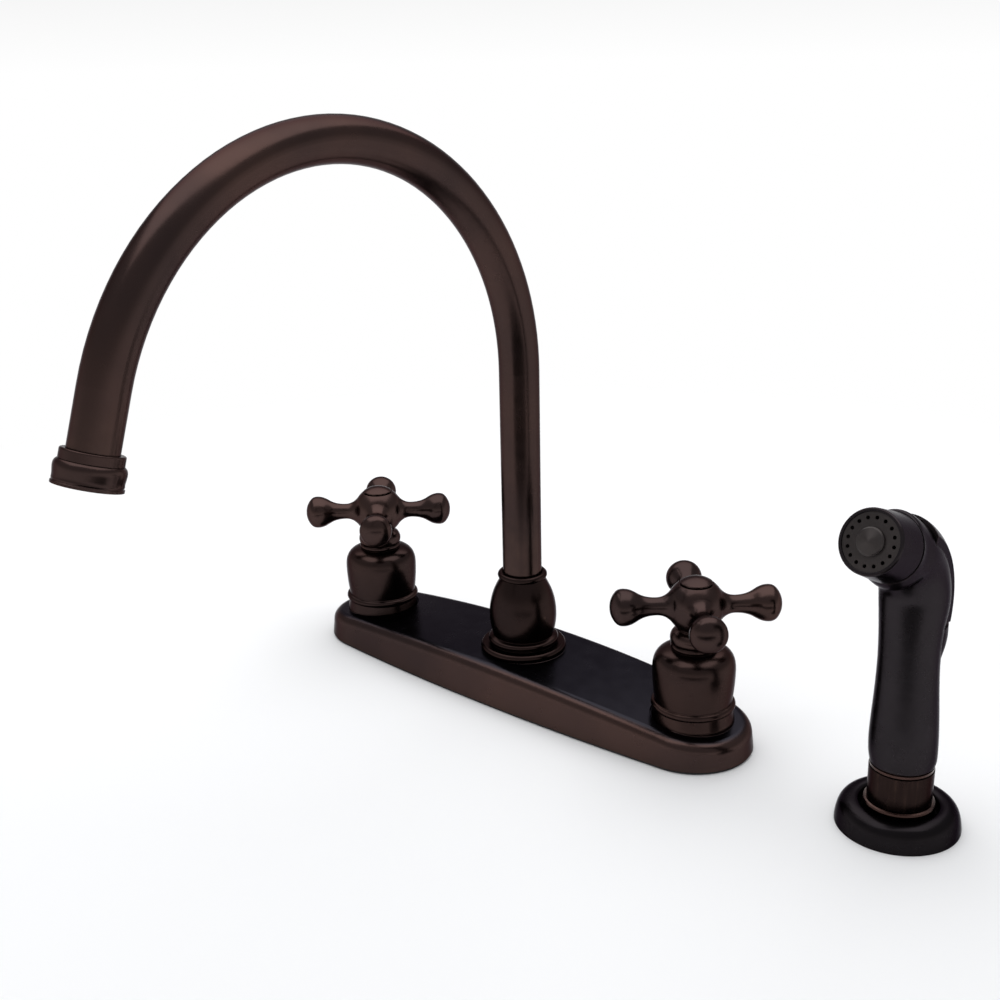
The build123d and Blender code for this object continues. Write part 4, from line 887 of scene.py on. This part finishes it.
def floor_surface():
    """Pale floor that keeps the faucet's shadow, white further out and grey high up."""
    studio = bpy.context.scene.faucet_studio
    material = bpy.data.materials.new("studio_floor")
    material.use_nodes = True
    tree = material.node_tree
    tree.nodes.clear()
    output = tree.nodes.new("ShaderNodeOutputMaterial")
    matt = tree.nodes.new("ShaderNodeBsdfDiffuse")
    matt.inputs["Color"].default_value = (*studio.floor_colour, 1.0)
    glow = tree.nodes.new("ShaderNodeEmission")
    glow.inputs["Color"].default_value = (1.0, 1.0, 1.0, 1.0)
    place = tree.nodes.new("ShaderNodeTexCoord")
    parts = tree.nodes.new("ShaderNodeSeparateXYZ")
    tree.links.new(place.outputs["Object"], parts.inputs["Vector"])
    level = spread(tree, parts.outputs["Z"], (0.2, 1.7), (1.0, studio.room_level))
    tree.links.new(level, glow.inputs["Strength"])
    far = tree.nodes.new("ShaderNodeVectorMath")
    far.operation = "LENGTH"
    tree.links.new(place.outputs["Object"], far.inputs[0])
    reach = spread(tree, far.outputs["Value"], (0.3, 0.6), (0.0, 1.0))
    ray = tree.nodes.new("ShaderNodeLightPath")
    seen = ray.outputs["Is Camera Ray"]
    for other in ("Is Glossy Ray", "Is Transmission Ray"):
        either = tree.nodes.new("ShaderNodeMath")
        either.operation = "MAXIMUM"
        tree.links.new(seen, either.inputs[0])
        tree.links.new(ray.outputs[other], either.inputs[1])
        seen = either.outputs["Value"]
    mix = tree.nodes.new("ShaderNodeMixShader")
    tree.links.new(product(tree, reach, seen), mix.inputs["Fac"])
    tree.links.new(matt.outputs["BSDF"], mix.inputs[1])
    tree.links.new(glow.outputs["Emission"], mix.inputs[2])
    tree.links.new(mix.outputs["Shader"], output.inputs["Surface"])
    return material


def softbox(name, power, size, place, aim):
    """Square area lamp that faces a point."""
    data = bpy.data.lights.new(name, "AREA")
    data.shape = "SQUARE"
    data.size = size
    data.energy = power
    lamp = bpy.data.objects.new(name, data)
    bpy.context.scene.collection.objects.link(lamp)
    lamp.location = place
    lamp.rotation_euler = (Vector(aim) - Vector(place)).to_track_quat("-Z", "Y").to_euler()
    return lamp


class FAUCET_OT_studio(bpy.types.Operator):
    """Build the pale floor, the overhead softbox and the camera"""

    bl_idname = "faucet.studio"
    bl_label = "Studio"

    def execute(self, context):
        studio = context.scene.faucet_studio
        clear_selection()
        bpy.ops.mesh.primitive_circle_add(
            vertices=96, radius=studio.floor_radius, fill_type="NGON", location=(0, 0, 0)
        )
        floor = context.object
        floor.name = "studio_floor"
        edit(floor)
        bpy.ops.mesh.select_all(action="DESELECT")
        bpy.ops.mesh.select_mode(type="EDGE")
        bpy.ops.mesh.select_all(action="SELECT")
        bpy.ops.mesh.region_to_loop()
        for step in range(1, studio.wall_steps + 1):
            turn = math.radians(90 * step / studio.wall_steps)
            last = math.radians(90 * (step - 1) / studio.wall_steps)
            rise = studio.wall_height * (math.cos(last) - math.cos(turn))
            spread_out = studio.wall_height * (math.sin(turn) - math.sin(last))
            bpy.ops.mesh.extrude_region_move(TRANSFORM_OT_translate={"value": (0, 0, rise)})
            reach = studio.floor_radius + studio.wall_height * math.sin(turn)
            growth = reach / (reach - spread_out)
            bpy.ops.transform.resize(value=(growth, growth, 1.0), center_override=(0, 0, 0))
        bpy.ops.mesh.select_all(action="SELECT")
        bpy.ops.mesh.normals_make_consistent(inside=True)
        bpy.ops.object.mode_set(mode="OBJECT")
        bpy.ops.object.shade_smooth()
        floor.data.materials.append(floor_surface())
        self.lay_flag(studio)
        softbox(
            "overhead_softbox",
            studio.overhead_power,
            studio.overhead_size,
            OVERHEAD_PLACE,
            (0.0, 0.0, 0.1),
        )
        world = bpy.data.worlds.new("studio_room")
        world.use_nodes = True
        room = world.node_tree.nodes["Background"]
        room.inputs["Color"].default_value = (0.95, 0.965, 1.0, 1.0)
        room.inputs["Strength"].default_value = studio.room_level
        context.scene.world = world
        self.place_camera(context, studio)
        context.scene.view_settings.view_transform = "Standard"
        return {"FINISHED"}

    def lay_flag(self, studio):
        """Black flag under the camera, which only the metal's reflections see."""
        clear_selection()
        bpy.ops.mesh.primitive_circle_add(
            vertices=64,
            radius=studio.flag_radius,
            fill_type="NGON",
            location=(CAMERA_PLACE[0], CAMERA_PLACE[1], 0.001),
        )
        flag = bpy.context.object
        flag.name = "black_flag"
        flag.data.materials.append(
            moulded("flag_felt", (0.012, 0.011, 0.012), (0.02, 0.019, 0.02), 0.9)
        )
        flag.visible_camera = False
        flag.visible_diffuse = False
        flag.visible_shadow = False

    def place_camera(self, context, studio):
        """Camera at the photo's angle, with a 50 mm lens."""
        azimuth = studio.camera_azimuth
        pitch = studio.camera_pitch
        roll = studio.camera_roll
        right = Vector((math.cos(azimuth), math.sin(azimuth), 0.0))
        back = Vector(
            (
                math.sin(azimuth) * math.cos(pitch),
                -math.cos(azimuth) * math.cos(pitch),
                math.sin(pitch),
            )
        )
        up = back.cross(right)
        across = math.cos(roll) * right + math.sin(roll) * up
        upward = math.cos(roll) * up - math.sin(roll) * right
        data = bpy.data.cameras.new("studio_camera")
        data.lens = 50.0
        data.sensor_width = 36.0
        data.shift_x = -0.0039
        data.shift_y = 0.0139
        data.clip_start = 0.02
        camera = bpy.data.objects.new("studio_camera", data)
        context.scene.collection.objects.link(camera)
        turn = Matrix((across, upward, back)).transposed()
        camera.matrix_world = Matrix.Translation(CAMERA_PLACE) @ turn.to_4x4()
        context.scene.camera = camera


class FAUCET_PT_panel(bpy.types.Panel):
    """Faucet pieces, finishes and studio"""

    bl_idname = "FAUCET_PT_panel"
    bl_label = "Faucet"
    bl_space_type = "VIEW_3D"
    bl_region_type = "UI"
    bl_category = "Faucet"

    def draw(self, context):
        layout = self.layout
        for operator in PIECES:
            layout.operator(operator.bl_idname)
        for settings in (
            context.scene.faucet_finishes,
            context.scene.faucet_sizes,
            context.scene.faucet_studio,
        ):
            box = layout.box()
            for name in settings.bl_rna.properties.keys():
                if name not in ("rna_type", "name"):
                    box.prop(settings, name)


PIECES = (
    FAUCET_OT_base,
    FAUCET_OT_valves,
    FAUCET_OT_shanks,
    FAUCET_OT_handles,
    FAUCET_OT_spout,
    FAUCET_OT_sprayer,
    FAUCET_OT_studio,
)
SETTINGS = (
    ("faucet_finishes", FaucetFinishes),
    ("faucet_sizes", FaucetSizes),
    ("faucet_studio", FaucetStudio),
)


def register():
    for name, settings in SETTINGS:
        bpy.utils.register_class(settings)
        setattr(bpy.types.Scene, name, bpy.props.PointerProperty(type=settings))
    for piece in PIECES:
        bpy.utils.register_class(piece)
    bpy.utils.register_class(FAUCET_PT_panel)


def unregister():
    bpy.utils.unregister_class(FAUCET_PT_panel)
    for piece in reversed(PIECES):
        bpy.utils.unregister_class(piece)
    for name, settings in reversed(SETTINGS):
        delattr(bpy.types.Scene, name)
        bpy.utils.unregister_class(settings)


def main():
    register()
    bpy.ops.faucet.base()
    bpy.ops.faucet.valves()
    bpy.ops.faucet.shanks()
    bpy.ops.faucet.handles()
    bpy.ops.faucet.spout()
    bpy.ops.faucet.sprayer()
    bpy.ops.faucet.studio()


if __name__ == "__main__":
    main()
